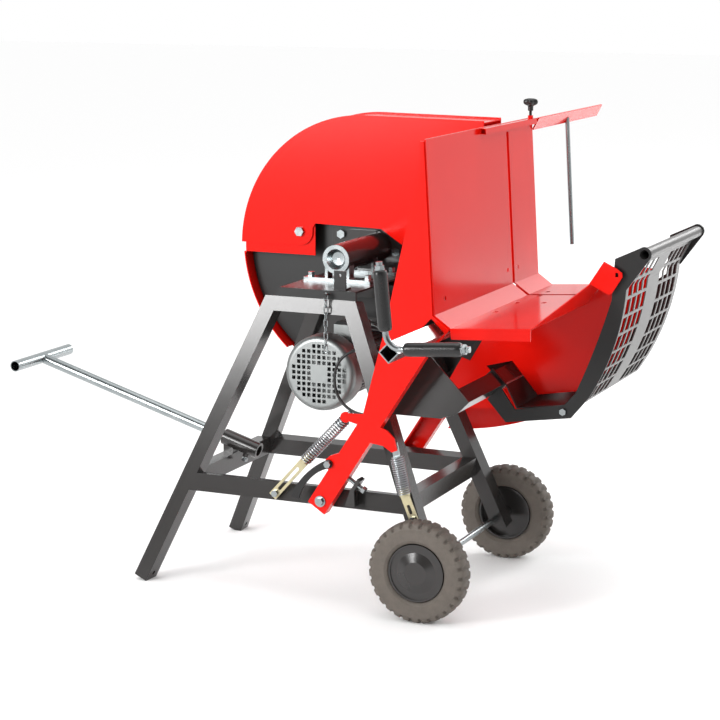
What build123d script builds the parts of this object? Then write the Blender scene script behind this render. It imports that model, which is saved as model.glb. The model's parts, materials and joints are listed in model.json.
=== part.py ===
# Tilting firewood saw with a swinging trough, a fixed blade guard and a lifting hood.
#
# Working frame while the pieces are made, in millimetres: X runs from the drawbar end to the grid guard,
# Y runs from the operator's handle side to the blade side, and Z is up from the floor.
# Every piece is moved at the end so that the origin is the bottom centre of the whole machine.

import os
from math import asin, atan, atan2, cos, degrees, hypot, pi, radians, sin, sqrt, tan

from build123d import *

# Driving sizes of the leaning side frames
FRAME_TOP_Z = 801.0
FOOT_Y = 308.0
LEAN = 0.15
TUBE_W = 40.0
TUBE_D = 50.0
TUBE_WALL = 3.0
TOP_LEFT_X = -47.0
TOP_RIGHT_X = 216.0
LEFT_SPREAD = 0.449
RIGHT_SPREAD = 0.40
RAIL_Z = 286.0
RAIL_H = 48.0
RAIL_D = 40.0
ANCHOR_R = 6.5
ANCHOR_UP = 30.0

# Driving sizes of the running gear and the drawbar
AXLE_X = 460.0
LEG_PAST_AXLE = 17.0
AXLE_R = 9.0
WHEEL_R = 134.0
WHEEL_W = 66.0
WHEEL_Y = 328.0
RIM_R = 76.0
HUB_TUBE_R = 16.0
DRAWBAR_R = 15.0
DRAWBAR_X = -875.0
DRAWBAR_Z = 533.0
DRAWBAR_FALL = 0.30
DRAWBAR_END_X = -190.0
SOCKET_X = (-274.0, -166.0)
SOCKET_R = 23.0
GRIP_BAR_R = 16.0
GRIP_BAR_L = 290.0

# Driving sizes of the arbor, the blade and the drive
ARBOR_X = 100.0
ARBOR_Z = 888.0
ARBOR_R = 15.0
HOUSING_R = 40.0
HOUSING_BORE = 31.0
HOUSING_Y = -56.0
BLADE_R = 350.0
BLADE_Y = 285.0
BLADE_T = 4.0
TOOTH_COUNT = 56
TOOTH_H = 11.0
MOTOR_X = 92.0
MOTOR_Z = 590.0
MOTOR_R = 88.0
COWL_R = 103.0
COWL_Y = -150.0
MOTOR_SHAFT_R = 14.0
ARBOR_PULLEY_R = 75.0
MOTOR_PULLEY_R = 45.0
PULLEY_W = 28.0

# Driving sizes of the guard round the blade and of the lifting hood
SHEET = 3.0
GUARD_R = 412.0
GUARD_WALL_Y = 240.0
GUARD_FAR_Y = 320.0
HOOD_X = 67.0
HOOD_Z = 875.0
HOOD_R = 382.0
ROOF_DROP = 5.0
HOOD_Y = 197.0
HOOD_FAR_Y = 329.0
HOOD_PIVOT_X = -129.0
HOOD_PIVOT_Z = 922.0
HOOD_PIVOT_R = 8.0
HOOD_END_X = 425.0
HOOD_END_DROP = 5.0
HOOD_TOP_DEG = 90.0
HOOD_SEAM_DEG = 148.0
SIDE_SHEET_Z = 855.0

# Driving sizes of the swinging cradle
PIVOT_X = 168.0
PIVOT_Z = 283.0
PIVOT_R = 12.0
CRADLE_Y = -305.0
TROUGH_NEAR_Y = -300.0
TROUGH_FAR_Y = 490.0
TROUGH_T = 4.0
PANEL_TOP = (459.0, 1243.0)
PANEL_FOOT = (486.0, 800.0)
CHAMFER_FOOT = (529.0, 770.0)
TABLE_END = (744.0, 784.0)
SLOT_W = 18.0
SLOT_TOP_Z = 1218.0
SLOT_END_X = 676.0
SLOT_FLANGE = 12.0
LIP_H = 32.0
SIDE_T = 5.0
POST_D = 32.0
FAR_POST_Y = 292.0
POCKET_Y = 150.0
TILT_TUBE_X = 482.0
TILT_TUBE_Z = 752.0
TILT_TUBE_W = 38.0
TILT_TUBE_END_Y = -585.0
HANDLE_ROD_R = 8.0
GRIP_R = 17.5

# Driving sizes of the fixed grid guard
BEAM_X = 522.0
BEAM_Z = 567.0
BEAM_W = 45.0
ARM_Y = 25.0
ARM_FAR_Y = 539.0
ARM_T = 6.0
GRID_T = 3.0

# Driving sizes of the balance springs
LEFT_SPRING = ((228.0, 503.0), (112.0, 381.0))
LEFT_SPRING_R = 16.0
LEFT_WIRE = 3.8
LEFT_TURNS = 21
RIGHT_SPRING = ((376.0, 417.0), (398.0, 318.0))
RIGHT_SPRING_R = 18.0
RIGHT_WIRE = 3.7
RIGHT_TURNS = 17
SPRING_Y = -280.5

# Driving sizes of the length stop
STOP_GUIDE_Y = (80.0, 486.0)
STOP_GUIDE_W = 16.0
STOP_GUIDE_Z = 1226.0
STOP_STRIP_END_Y = 1075.0
STOP_STRIP_T = 4.0
STOP_ROD_Y = 775.0
STOP_ROD_R = 6.5
STOP_ROD_L = 375.0
KNOB_Y = 455.0
KNOB_R = 22.0

# Clearances
RUN = 0.05
SLIDE = 0.4
AIR = 3.0

nodes = {}


def keep(name, *solids):
    """Collect the solids of one named piece."""
    nodes[name] = list(solids)


def lerp(a, b, t):
    """The point that lies the fraction t of the way from a to b."""
    return tuple(p + (q - p) * t for p, q in zip(a, b))


def shifted(p, q, along):
    """The point p moved by a length along the direction from p to q."""
    return lerp(p, q, along / hypot(q[0] - p[0], q[1] - p[1]))


def polar(x, z, r, angle):
    """The point at a radius and an angle in degrees round a centre in the X Z plane."""
    return (x + r * cos(radians(angle)), z + r * sin(radians(angle)))


def arc(x, z, r, a0, a1):
    """A circular arc in the X Z plane between two angles in degrees."""
    return ThreePointArc(polar(x, z, r, a0), polar(x, z, r, (a0 + a1) / 2), polar(x, z, r, a1))


def plate(outline, y0, y1):
    """A flat plate whose outline, points or edges in X and Z, runs from y0 to y1."""
    if isinstance(outline[0], tuple):
        outline = [Polyline(*outline, close=True)]
    face = Plane.XZ * make_face(outline)
    return Pos(0, y0, 0) * extrude(face, amount=y1 - y0, dir=(0, 1, 0))


def rod_y(x, z, y0, y1, r):
    """A round bar along Y."""
    return Pos(x, y0, z) * Rot(-90, 0, 0) * Cylinder(r, y1 - y0,
                                                     align=(Align.CENTER, Align.CENTER, Align.MIN))


def ring_y(x, z, y0, y1, r, bore):
    """A round tube along Y."""
    return rod_y(x, z, y0, y1, r) - rod_y(x, z, y0 - 1, y1 + 1, bore)


def bar(p, q, r):
    """A round bar between two points in space."""
    p, q = Vector(*p), Vector(*q)
    return Plane(p, z_dir=q - p) * Cylinder(r, (q - p).length, align=(Align.CENTER, Align.CENTER, Align.MIN))


def box(x0, x1, y0, y1, z0, z1):
    """A block between its limits on the three axes."""
    return Pos((x0 + x1) / 2, (y0 + y1) / 2, (z0 + z1) / 2) * Box(x1 - x0, y1 - y0, z1 - z0)


def hexagon_y(x, z, y0, y1, across):
    """A hexagon bar along Y, given across its flats."""
    points = [polar(x, z, across / sqrt(3), 60 * i) for i in range(6)]
    return plate(points, y0, y1)


def hex_bolt(point, way, across, head, shank_r, shank):
    """A hexagon bolt whose head sits on a point and whose shank goes back the other way."""
    seat = Plane(point, z_dir=way)
    top = extrude(seat * RegularPolygon(across / sqrt(3), 6), amount=head)
    return top + seat * Cylinder(shank_r, shank, align=(Align.CENTER, Align.CENTER, Align.MAX))


def mirrored(solid):
    """The same solid on the other side of the middle plane."""
    return mirror(solid, about=Plane.XZ)


# The leaning side frames: four legs, two top bars and the rails between them
lean_angle = atan(LEAN)
near_face = Plane(origin=(0, -FOOT_Y, 0), x_dir=(1, 0, 0), z_dir=(0, -cos(lean_angle), sin(lean_angle)))


def slope(z):
    """Distance up the leaning face of a side frame for a height above the floor."""
    return z / cos(lean_angle)


def side_y(z):
    """Distance of the outer face of a side frame from the middle plane at a height."""
    return FOOT_Y - LEAN * z


def side_plate(points, start, depth):
    """A prism on the near side frame's outer face, from a starting depth inward."""
    face = near_face.offset(-start) * make_face(Polyline(*points, close=True))
    return extrude(face, amount=-depth)


def side_tube(outer_a, outer_b, inner_b, inner_a, depth):
    """A rectangular tube in the side frame, given by the corners of its side view."""
    width = abs((outer_b[0] - outer_a[0]) * (inner_a[1] - outer_a[1])
                - (outer_b[1] - outer_a[1]) * (inner_a[0] - outer_a[0]))
    width /= hypot(outer_b[0] - outer_a[0], outer_b[1] - outer_a[1])
    t = TUBE_WALL / width
    hollow = [lerp(outer_a, inner_a, t), lerp(outer_b, inner_b, t), lerp(inner_b, outer_b, t),
              lerp(inner_a, outer_a, t)]
    ends = [shifted(hollow[0], hollow[1], -1), shifted(hollow[1], hollow[0], -1),
            shifted(hollow[2], hollow[3], -1), shifted(hollow[3], hollow[2], -1)]
    outside = side_plate([outer_a, outer_b, inner_b, inner_a], 0, depth)
    return outside - side_plate(ends, TUBE_WALL, depth - 2 * TUBE_WALL)


v_top = slope(FRAME_TOP_Z)
v_under = v_top - TUBE_W
left_lean = LEFT_SPREAD * cos(lean_angle)
right_lean = RIGHT_SPREAD * cos(lean_angle)
left_wide = TUBE_W * sqrt(1 + left_lean ** 2)
right_wide = TUBE_W * sqrt(1 + right_lean ** 2)


def left_outer(v):
    """X of the left leg's outer edge at a distance up the leaning face."""
    return TOP_LEFT_X - left_lean * (v_top - v)


def left_inner(v):
    """X of the left leg's inner edge at a distance up the leaning face."""
    return left_outer(v) + left_wide


def right_outer(v):
    """X of the right leg's outer edge at a distance up the leaning face."""
    return TOP_RIGHT_X + right_lean * (v_top - v)


def right_inner(v):
    """X of the right leg's inner edge at a distance up the leaning face."""
    return right_outer(v) - right_wide


foot_inner = (left_inner(0), 0.0)
foot_outer = (foot_inner[0] - TUBE_W / sqrt(1 + left_lean ** 2),
              TUBE_W * left_lean / sqrt(1 + left_lean ** 2))
top_left_inner = (left_inner(v_under), v_under)
top_right_inner = (right_inner(v_under), v_under)
v_axle_end = slope(WHEEL_R) - LEG_PAST_AXLE

left_leg = side_tube(foot_outer, (TOP_LEFT_X, v_top), top_left_inner, foot_inner, TUBE_D)
anchor_u = (left_outer(ANCHOR_UP) + left_inner(ANCHOR_UP)) / 2
anchor_spot = near_face.offset(-TUBE_D / 2) * Location((anchor_u, ANCHOR_UP, 0))
leg_across = near_face.x_dir - near_face.y_dir * left_lean
left_leg -= Plane(anchor_spot.position, z_dir=leg_across) * Cylinder(ANCHOR_R, 2 * TUBE_W)
left_leg -= box(foot_outer[0] - 20, foot_inner[0] + 20, -FOOT_Y - 20, 0, -20, 0)

right_leg = side_tube((right_outer(v_axle_end), v_axle_end), (TOP_RIGHT_X, v_top), top_right_inner,
                      (right_inner(v_axle_end), v_axle_end), TUBE_D)
right_leg -= rod_y(AXLE_X, WHEEL_R, -FOOT_Y, 0, AXLE_R)

top_bar = side_tube((TOP_LEFT_X, v_top), (TOP_RIGHT_X, v_top), top_right_inner, top_left_inner, TUBE_D)

v_rail0, v_rail1 = slope(RAIL_Z - RAIL_H / 2), slope(RAIL_Z + RAIL_H / 2)
side_rail = side_tube((left_inner(v_rail1), v_rail1), (right_inner(v_rail1), v_rail1),
                      (right_inner(v_rail0), v_rail0), (left_inner(v_rail0), v_rail0), RAIL_D)
side_rail -= rod_y(PIVOT_X, PIVOT_Z, -FOOT_Y, 0, PIVOT_R)


def cross_rail(x0, x1, z0, z1):
    """A rectangular tube across the machine, its ends cut to the leaning legs."""
    def section(inset, longer):
        ends = [(z, side_y(z) - TUBE_D / cos(lean_angle) + longer) for z in (z0 + inset, z1 - inset)]
        points = [(-ends[0][1], ends[0][0]), (ends[0][1], ends[0][0]), (ends[1][1], ends[1][0]),
                  (-ends[1][1], ends[1][0])]
        return make_face(Polyline(*points, close=True))
    outer = Pos(x0, 0, 0) * extrude(Plane.YZ * section(0, 0), amount=x1 - x0)
    hollow = Pos(x0 + TUBE_WALL, 0, 0) * extrude(Plane.YZ * section(TUBE_WALL, 1),
                                                 amount=x1 - x0 - 2 * TUBE_WALL)
    return outer - hollow


left_mid = (left_outer(slope(RAIL_Z)) + left_inner(slope(RAIL_Z))) / 2
right_mid = (right_outer(slope(RAIL_Z)) + right_inner(slope(RAIL_Z))) / 2
rail_z0, rail_z1 = RAIL_Z - RAIL_H / 2, RAIL_Z + RAIL_H / 2
left_cross = cross_rail(left_mid - TUBE_W / 2, left_mid + TUBE_W / 2, rail_z0, rail_z1)
right_cross = cross_rail(right_mid - TUBE_W / 2 - 12, right_mid + TUBE_W / 2 - 12, rail_z0, rail_z1)

keep("legs", left_leg, mirrored(left_leg), right_leg, mirrored(right_leg))
keep("top_bars", top_bar, mirrored(top_bar))
keep("rails", side_rail, mirrored(side_rail), left_cross, right_cross)

# The beam that carries the grid guard, held by two gusset plates on the right legs
half_beam = BEAM_W / sqrt(2)


def diamond(x, z, half):
    """The corners of a square that stands on its corner."""
    return [(x - half, z), (x, z - half), (x + half, z), (x, z + half)]


GUSSET_T = 6.0
gusset_z = BEAM_Z - 49
gusset_points = [(right_inner(slope(gusset_z)) + 10, gusset_z), (BEAM_X - 45, gusset_z),
                 (BEAM_X - 1, BEAM_Z - 34),
                 (BEAM_X + half_beam, BEAM_Z), (BEAM_X - 84, BEAM_Z + 110),
                 (right_outer(slope(gusset_z + 27)), gusset_z + 27),
                 (right_inner(slope(gusset_z + 27)) + 10, gusset_z + 27)]
gusset_view = [(x, slope(z)) for x, z in gusset_points]
near_gusset = side_plate(gusset_view, -GUSSET_T, GUSSET_T)
beam_hole = plate(diamond(BEAM_X, BEAM_Z, half_beam), -FOOT_Y, 0)
keep("frame_gussets", near_gusset, mirrored(near_gusset - beam_hole))

beam_y0 = -side_y(BEAM_Z) - BEAM_W
guard_beam = plate(diamond(BEAM_X, BEAM_Z, half_beam), beam_y0, ARM_FAR_Y)
guard_beam -= plate(diamond(BEAM_X, BEAM_Z, half_beam - TUBE_WALL * sqrt(2)), beam_y0 - 1, ARM_FAR_Y + 1)
outside_view = [(BEAM_X - BEAM_W, v_rail1), (BEAM_X + BEAM_W, v_rail1), (BEAM_X + BEAM_W, v_top),
                (BEAM_X - BEAM_W, v_top)]
keep("guard_beam", guard_beam - side_plate(outside_view, -2 * BEAM_W, 2 * BEAM_W))

# The sheet console on top of the frame, with the bent chain bracket
console_y = side_y(FRAME_TOP_Z)
console_top = FRAME_TOP_Z + 24
console_left, console_right = TOP_LEFT_X + 28, TOP_RIGHT_X + 1
lip = plate([(console_left, FRAME_TOP_Z), (console_right, FRAME_TOP_Z), (console_right, console_top),
             (console_left + 14, console_top)],
            -console_y, -console_y + 5)
deck = box(console_left + 14, console_right, -console_y + 5, console_y - 5, console_top - 5, console_top)
LINK_L, LINK_W, LINK_D = 24.0, 13.0, 3.2
LINK_COUNT = 9
link_pitch = LINK_L - 2 * LINK_D - 0.4
chain_x, chain_y = ARBOR_X + 38, -console_y - 16
peg_z = console_top - 10
peg_r = 2.4
peg = rod_y(chain_x, peg_z, chain_y - 8, -console_y, peg_r)
peg += rod_y(chain_x, peg_z, chain_y - 11, chain_y - 8, 6)
keep("console", lip + deck + mirrored(lip) + peg)

bracket_x = ARBOR_X + 66
bracket_y = -console_y + 12
bracket_up = box(bracket_x - 17, bracket_x + 17, bracket_y, bracket_y + 5, console_top, console_top + 52)
bracket_foot = box(bracket_x - 17, bracket_x + 17, bracket_y, bracket_y + 34, console_top, console_top + 5)
bracket_hole = rod_y(bracket_x, console_top + 40, bracket_y - 1, bracket_y + 6, 4)
keep("chain_bracket", bracket_up + bracket_foot - bracket_hole)

# The safety chain that hangs from a peg on the console's front lip


def chain_link(z_top, turned):
    """One oval link hanging from a height, in the X Z plane or turned across it."""
    half = (LINK_W - LINK_D) / 2
    low, high = z_top - LINK_L + LINK_D / 2 + half, z_top - LINK_D / 2 - half
    path = Wire([Line((-half, 0, low), (-half, 0, high)),
                 ThreePointArc((-half, 0, high), (0, 0, high + half), (half, 0, high)),
                 Line((half, 0, high), (half, 0, low)),
                 ThreePointArc((half, 0, low), (0, 0, low - half), (-half, 0, low))])
    section = Plane((-half, 0, low), z_dir=(0, 0, 1)) * Circle(LINK_D / 2)
    solid = sweep(section, path=path)
    return Pos(chain_x, chain_y, 0) * Rot(0, 0, 90 if turned else 0) * solid


first_top = peg_z + peg_r + 0.3 + LINK_D
keep("chain", *[chain_link(first_top - i * link_pitch, i % 2 == 1) for i in range(LINK_COUNT)])

# The axle, its spacers and washers, and the two solid rubber wheels
axle_end = WHEEL_Y + WHEEL_W / 2 - 12
axle = rod_y(AXLE_X, WHEEL_R, -axle_end, axle_end, AXLE_R)
hub_y0, hub_y1 = WHEEL_Y - WHEEL_W / 2 + 3, WHEEL_Y + WHEEL_W / 2 - 20
washer = ring_y(AXLE_X, WHEEL_R, hub_y1 + 0.4, hub_y1 + 3.4, HUB_TUBE_R - 1, AXLE_R)
spacer = ring_y(AXLE_X, WHEEL_R, side_y(WHEEL_R) - 8, hub_y0 - 0.4, HUB_TUBE_R - 1, AXLE_R)
spacer = (spacer - mirrored(right_leg)).solids().sort_by(Axis.Y)[-1]
keep("axle", axle)
keep("axle_washers", washer, mirrored(washer), spacer, mirrored(spacer))


def wheel_hub(side):
    """A pressed rim with a middle web, a hub tube and a smooth dished cover on the outside."""
    w0, w1 = WHEEL_Y - WHEEL_W / 2 + 8, WHEEL_Y + WHEEL_W / 2 - 6
    rim = ring_y(AXLE_X, WHEEL_R, w0, w1, RIM_R, RIM_R - 5)
    tube = ring_y(AXLE_X, WHEEL_R, hub_y0, hub_y1, HUB_TUBE_R, AXLE_R + RUN)
    web = ring_y(AXLE_X, WHEEL_R, WHEEL_Y - 4, WHEEL_Y + 2, RIM_R - 3, HUB_TUBE_R - 2)
    dish = [(0, w1 + 4), (30, w1 + 4), (54, w1 - 3), (RIM_R - 4, w1 - 3), (RIM_R - 4, w1 - 6), (53, w1 - 6),
            (29, w1 + 1), (0, w1 + 1)]
    face = Plane.XY * make_face(Polyline(*[(r, y) for r, y in dish], close=True))
    cover = Pos(AXLE_X, 0, WHEEL_R) * revolve(face, Axis.Y)
    solid = rim + tube + web + cover
    return mirrored(solid) if side < 0 else solid


def tyre(side):
    """A solid rubber tyre with rounded shoulders on the pressed rim."""
    half = WHEEL_W / 2
    profile = [Line((RIM_R, -half + 8), (RIM_R, half - 6)), Line((RIM_R, half - 6), (RIM_R + 10, half)),
               Line((RIM_R + 10, half), (WHEEL_R - 22, half)),
               ThreePointArc((WHEEL_R - 22, half), (WHEEL_R - 6, half - 5), (WHEEL_R - 1, half - 18)),
               Line((WHEEL_R - 1, half - 18), (WHEEL_R, 0)), Line((WHEEL_R, 0), (WHEEL_R - 1, -half + 18)),
               ThreePointArc((WHEEL_R - 1, -half + 18), (WHEEL_R - 6, -half + 5), (WHEEL_R - 22, -half)),
               Line((WHEEL_R - 22, -half), (RIM_R + 10, -half)),
               Line((RIM_R + 10, -half), (RIM_R, -half + 8))]
    solid = Pos(AXLE_X, WHEEL_Y, WHEEL_R) * revolve(make_face(profile), Axis.Y)
    return mirrored(solid) if side < 0 else solid


keep("wheel_hub_near", wheel_hub(-1))
keep("tyre_near", tyre(-1))
keep("wheel_hub_far", wheel_hub(1))
keep("tyre_far", tyre(1))


# The drawbar in its socket on the left cross rail
def drawbar_point(x):
    """A point of the drawbar's axis."""
    return (x, 0.0, DRAWBAR_Z - DRAWBAR_FALL * (x - DRAWBAR_X))


draw_in = drawbar_point(DRAWBAR_END_X)
draw_out = drawbar_point(DRAWBAR_X)
draw_way = (Vector(*draw_in) - Vector(*draw_out)).normalized()
draw_bore = bar(draw_out, tuple(Vector(*draw_in) + draw_way), DRAWBAR_R - 2.5)
draw_tube = bar(draw_out, draw_in, DRAWBAR_R) - draw_bore
draw_tube -= rod_y(DRAWBAR_X, DRAWBAR_Z, -GRIP_BAR_L / 2, GRIP_BAR_L / 2, GRIP_BAR_R - 1)
grip_bar = ring_y(DRAWBAR_X, DRAWBAR_Z, -GRIP_BAR_L / 2, GRIP_BAR_L / 2, GRIP_BAR_R, GRIP_BAR_R - 2.5)
keep("drawbar", draw_tube + grip_bar)

socket_a, socket_b = drawbar_point(SOCKET_X[0]), drawbar_point(SOCKET_X[1])
socket = bar(socket_a, socket_b, SOCKET_R)
foot_block = box(left_mid - 15, left_mid + 15, -15, 15, rail_z1, socket_a[2])
socket_axis = bar(drawbar_point(SOCKET_X[0] - 60), drawbar_point(SOCKET_X[1] + 60), DRAWBAR_R + SLIDE)
screw_seat = Vector(*drawbar_point(SOCKET_X[1] - 34))
screw_way = Vector(-DRAWBAR_FALL, 0, -1).normalized()
screw_hole = bar(tuple(screw_seat), tuple(screw_seat + screw_way * (SOCKET_R + 12)), 5)
nut_low, nut_high = (tuple(screw_seat + screw_way * (SOCKET_R + up)) for up in (-2, 8))
socket_nut = bar(nut_low, nut_high, 9)
keep("drawbar_socket", socket + foot_block + socket_nut - socket_axis - screw_hole)
screw_tip = screw_seat + screw_way * (DRAWBAR_R + 2 * SLIDE)
screw_head = screw_seat + screw_way * (SOCKET_R + 14)
drawbar_screw = hex_bolt(tuple(screw_head), screw_way, 17, 7, 5, (screw_head - screw_tip).length)

# The arbor housing on its two saddles, with its end cup, bearings and bolted flange
flange_y0 = GUARD_WALL_Y - 8
flange = plate([(ARBOR_X - 142, ARBOR_Z - 40), (ARBOR_X - 142, ARBOR_Z + 46), (ARBOR_X - 6, ARBOR_Z + 46),
                (ARBOR_X + 68, ARBOR_Z + 8), (ARBOR_X + 70, ARBOR_Z - 40), (ARBOR_X + 30, ARBOR_Z - 58),
                (ARBOR_X - 110, ARBOR_Z - 58)],
               flange_y0, GUARD_WALL_Y)
flange_step = box(ARBOR_X - 86, ARBOR_X - 6, flange_y0 - 6, flange_y0, ARBOR_Z - 40, ARBOR_Z + 44)
flange_bolt_spots = [(ARBOR_X - 114, ARBOR_Z + 29), (ARBOR_X + 55, ARBOR_Z - 13),
                     (ARBOR_X - 114, ARBOR_Z - 30)]
housing = rod_y(ARBOR_X, ARBOR_Z, HOUSING_Y, flange_y0, HOUSING_R) + flange + flange_step
housing -= rod_y(ARBOR_X, ARBOR_Z, HOUSING_Y - 1, GUARD_WALL_Y + 1, HOUSING_BORE)
for x, z in flange_bolt_spots:
    housing -= rod_y(x, z, flange_y0 - 1, GUARD_WALL_Y + 1, 6)
keep("arbor_housing", housing)

cup_points = [(0, HOUSING_Y + 16), (18, HOUSING_Y + 15), (HOUSING_BORE - 3, HOUSING_Y - 2),
              (HOUSING_R - 1, HOUSING_Y - 2),
              (HOUSING_R - 1, HOUSING_Y), (HOUSING_BORE, HOUSING_Y), (20, HOUSING_Y + 18),
              (0, HOUSING_Y + 19)]
cup = revolve(make_face(Polyline(*cup_points, close=True)), Axis.Y)
keep("housing_cup", Pos(ARBOR_X, 0, ARBOR_Z) * cup)

bearing_y = [(HOUSING_Y + 34, HOUSING_Y + 50), (flange_y0 - 24, flange_y0 - 8)]
keep("arbor_bearings", *[ring_y(ARBOR_X, ARBOR_Z, a, b, HOUSING_BORE, ARBOR_R + RUN) for a, b in bearing_y])

saddles = []
saddle_bolts = []
for saddle_y in (HOUSING_Y + 22, GUARD_WALL_Y - 110):
    bed = box(ARBOR_X - 98, ARBOR_X + 98, saddle_y - 20, saddle_y + 20, console_top, console_top + 10)
    ribs = [box(ARBOR_X + s * 32 - 4, ARBOR_X + s * 32 + 4, saddle_y - 16, saddle_y + 16, console_top + 10,
                ARBOR_Z) for s in (-1, 1)]
    saddle = bed + ribs - rod_y(ARBOR_X, ARBOR_Z, saddle_y - 30, saddle_y + 30, HOUSING_R)
    for s in (-1, 1):
        spot = (ARBOR_X + s * 84, saddle_y, console_top + 10)
        saddle -= bar((spot[0], spot[1], console_top - 1), (spot[0], spot[1], console_top + 11), 6)
        saddle_bolts.append(hex_bolt(spot, (0, 0, 1), 17, 12, 6, 9.5))
    saddles.append(saddle)
keep("saddles", *saddles)

# The turning arbor: shaft, pulley, blade and its clamping flanges
shaft_end = BLADE_Y + BLADE_T / 2 + 27
pulley_y = GUARD_WALL_Y + SHEET + 4
arbor_shaft = rod_y(ARBOR_X, ARBOR_Z, HOUSING_Y + 24, shaft_end, ARBOR_R)
keep("arbor_shaft", arbor_shaft)


def v_pulley(x, z, r, bore):
    """A two-groove pulley for narrow V-belts."""
    rim, root, middle = r, r - 9, PULLEY_W / 2
    profile = [(bore, 0), (rim, 0), (rim, 3), (root, 6), (root, 8), (rim, 12), (rim, middle)]
    profile += [(rd, PULLEY_W - y) for rd, y in reversed(profile[:-1])]
    wheel = revolve(make_face(Polyline(*profile, close=True)), Axis.Y)
    return Pos(x, pulley_y, z) * wheel


keep("arbor_pulley", v_pulley(ARBOR_X, ARBOR_Z, ARBOR_PULLEY_R, ARBOR_R))
clamp_r = 62.0
blade_y0, blade_y1 = BLADE_Y - BLADE_T / 2, BLADE_Y + BLADE_T / 2
inner_clamp = ring_y(ARBOR_X, ARBOR_Z, pulley_y + PULLEY_W, blade_y0, clamp_r, ARBOR_R)
outer_clamp = ring_y(ARBOR_X, ARBOR_Z, blade_y1, blade_y1 + 8, clamp_r, ARBOR_R)
arbor_nut = hexagon_y(ARBOR_X, ARBOR_Z, blade_y1 + 8, blade_y1 + 24, 46)
arbor_nut -= rod_y(ARBOR_X, ARBOR_Z, blade_y1 + 7, blade_y1 + 25, ARBOR_R)
keep("blade_clamp", inner_clamp, outer_clamp, arbor_nut)

blade_points = []
for i in range(TOOTH_COUNT):
    pitch = 360 / TOOTH_COUNT
    blade_points.append(polar(ARBOR_X, ARBOR_Z, BLADE_R, i * pitch))
    blade_points.append(polar(ARBOR_X, ARBOR_Z, BLADE_R - TOOTH_H * 0.4, (i + 0.45) * pitch))
    blade_points.append(polar(ARBOR_X, ARBOR_Z, BLADE_R - TOOTH_H, (i + 0.85) * pitch))
blade_bore = rod_y(ARBOR_X, ARBOR_Z, blade_y0 - 1, blade_y1 + 1, ARBOR_R)
keep("saw_blade", plate(blade_points, blade_y0, blade_y1) - blade_bore)

# The electric motor on its plate between the far legs, and the belts
motor_plate_y = 182.0
motor_plate_z = (500.0, 690.0)
plate_view = [(left_inner(slope(z)), z) for z in motor_plate_z]
plate_view += [(right_inner(slope(z)), z) for z in reversed(motor_plate_z)]
motor_plate = plate(plate_view, motor_plate_y, motor_plate_y + 8)
leg_core = [mirrored(side_plate([foot_outer, (TOP_LEFT_X, v_top), top_left_inner, foot_inner], 0, TUBE_D)),
            mirrored(side_plate([(right_outer(v_axle_end), v_axle_end), (TOP_RIGHT_X, v_top), top_right_inner,
                                 (right_inner(v_axle_end), v_axle_end)], 0, TUBE_D))]
for core in leg_core:
    motor_plate -= core
motor_plate = motor_plate.solids().sort_by(SortBy.VOLUME)[-1]
motor_plate -= rod_y(MOTOR_X, MOTOR_Z, motor_plate_y - 1, motor_plate_y + 9, 40)
keep("motor_plate", motor_plate)

fin_points = []
FIN_COUNT = 40
for i in range(FIN_COUNT):
    for part, r in ((0.0, MOTOR_R), (0.35, MOTOR_R), (0.42, MOTOR_R - 9), (0.93, MOTOR_R - 9)):
        fin_points.append(polar(MOTOR_X, MOTOR_Z, r, (i + part) * 360 / FIN_COUNT))
cowl_back = COWL_Y + 62
body_y0, body_y1 = cowl_back + 1, motor_plate_y
motor_body = plate(fin_points, body_y0 + 18, body_y1 - 26)
motor_body += rod_y(MOTOR_X, MOTOR_Z, cowl_back - 8, body_y0 + 18, MOTOR_R + 4)
motor_body += rod_y(MOTOR_X, MOTOR_Z, cowl_back - 8, cowl_back, COWL_R - SHEET)
motor_body += rod_y(MOTOR_X, MOTOR_Z, body_y1 - 26, body_y1 - 10, MOTOR_R + 2)
motor_body += rod_y(MOTOR_X, MOTOR_Z, body_y1 - 10, body_y1, 80)
motor_body -= rod_y(MOTOR_X, MOTOR_Z, cowl_back - 9, body_y1 + 1, MOTOR_SHAFT_R + RUN)
box_x, box_z = MOTOR_X + 36, MOTOR_Z + MOTOR_R - 12
box_seat = box(box_x - 30, box_x + 30, -46, 26, MOTOR_Z + MOTOR_R - 30, box_z + 12)
motor_body += box_seat - rod_y(MOTOR_X, MOTOR_Z, -60, 60, MOTOR_R - 20)
keep("motor_body", motor_body)

cowl = rod_y(MOTOR_X, MOTOR_Z, COWL_Y, cowl_back, COWL_R)
cowl = fillet(cowl.edges().filter_by(GeomType.CIRCLE).sort_by(Axis.Y)[0], 16)
inside = rod_y(MOTOR_X, MOTOR_Z, COWL_Y + SHEET, cowl_back + 1, COWL_R - SHEET)
inside = fillet(inside.edges().filter_by(GeomType.CIRCLE).sort_by(Axis.Y)[0], 13)
cowl -= inside
GRILLE_PITCH, GRILLE_HOLE = 15.0, 10.0
holes = []
for i in range(-5, 6):
    for j in range(-5, 6):
        if 22 < hypot(i, j) * GRILLE_PITCH < COWL_R - 24:
            x, z = MOTOR_X + i * GRILLE_PITCH, MOTOR_Z + j * GRILLE_PITCH
            holes.append(box(x - GRILLE_HOLE / 2, x + GRILLE_HOLE / 2, COWL_Y - 1, COWL_Y + 4,
                             z - GRILLE_HOLE / 2, z + GRILLE_HOLE / 2))
keep("fan_cowl", cowl - holes)

terminal_box = box(box_x - 36, box_x + 36, -54, 34, box_z + 12, box_z + 52)
keep("terminal_box", chamfer(terminal_box.edges().group_by(Axis.Z)[-1], 8))

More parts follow.
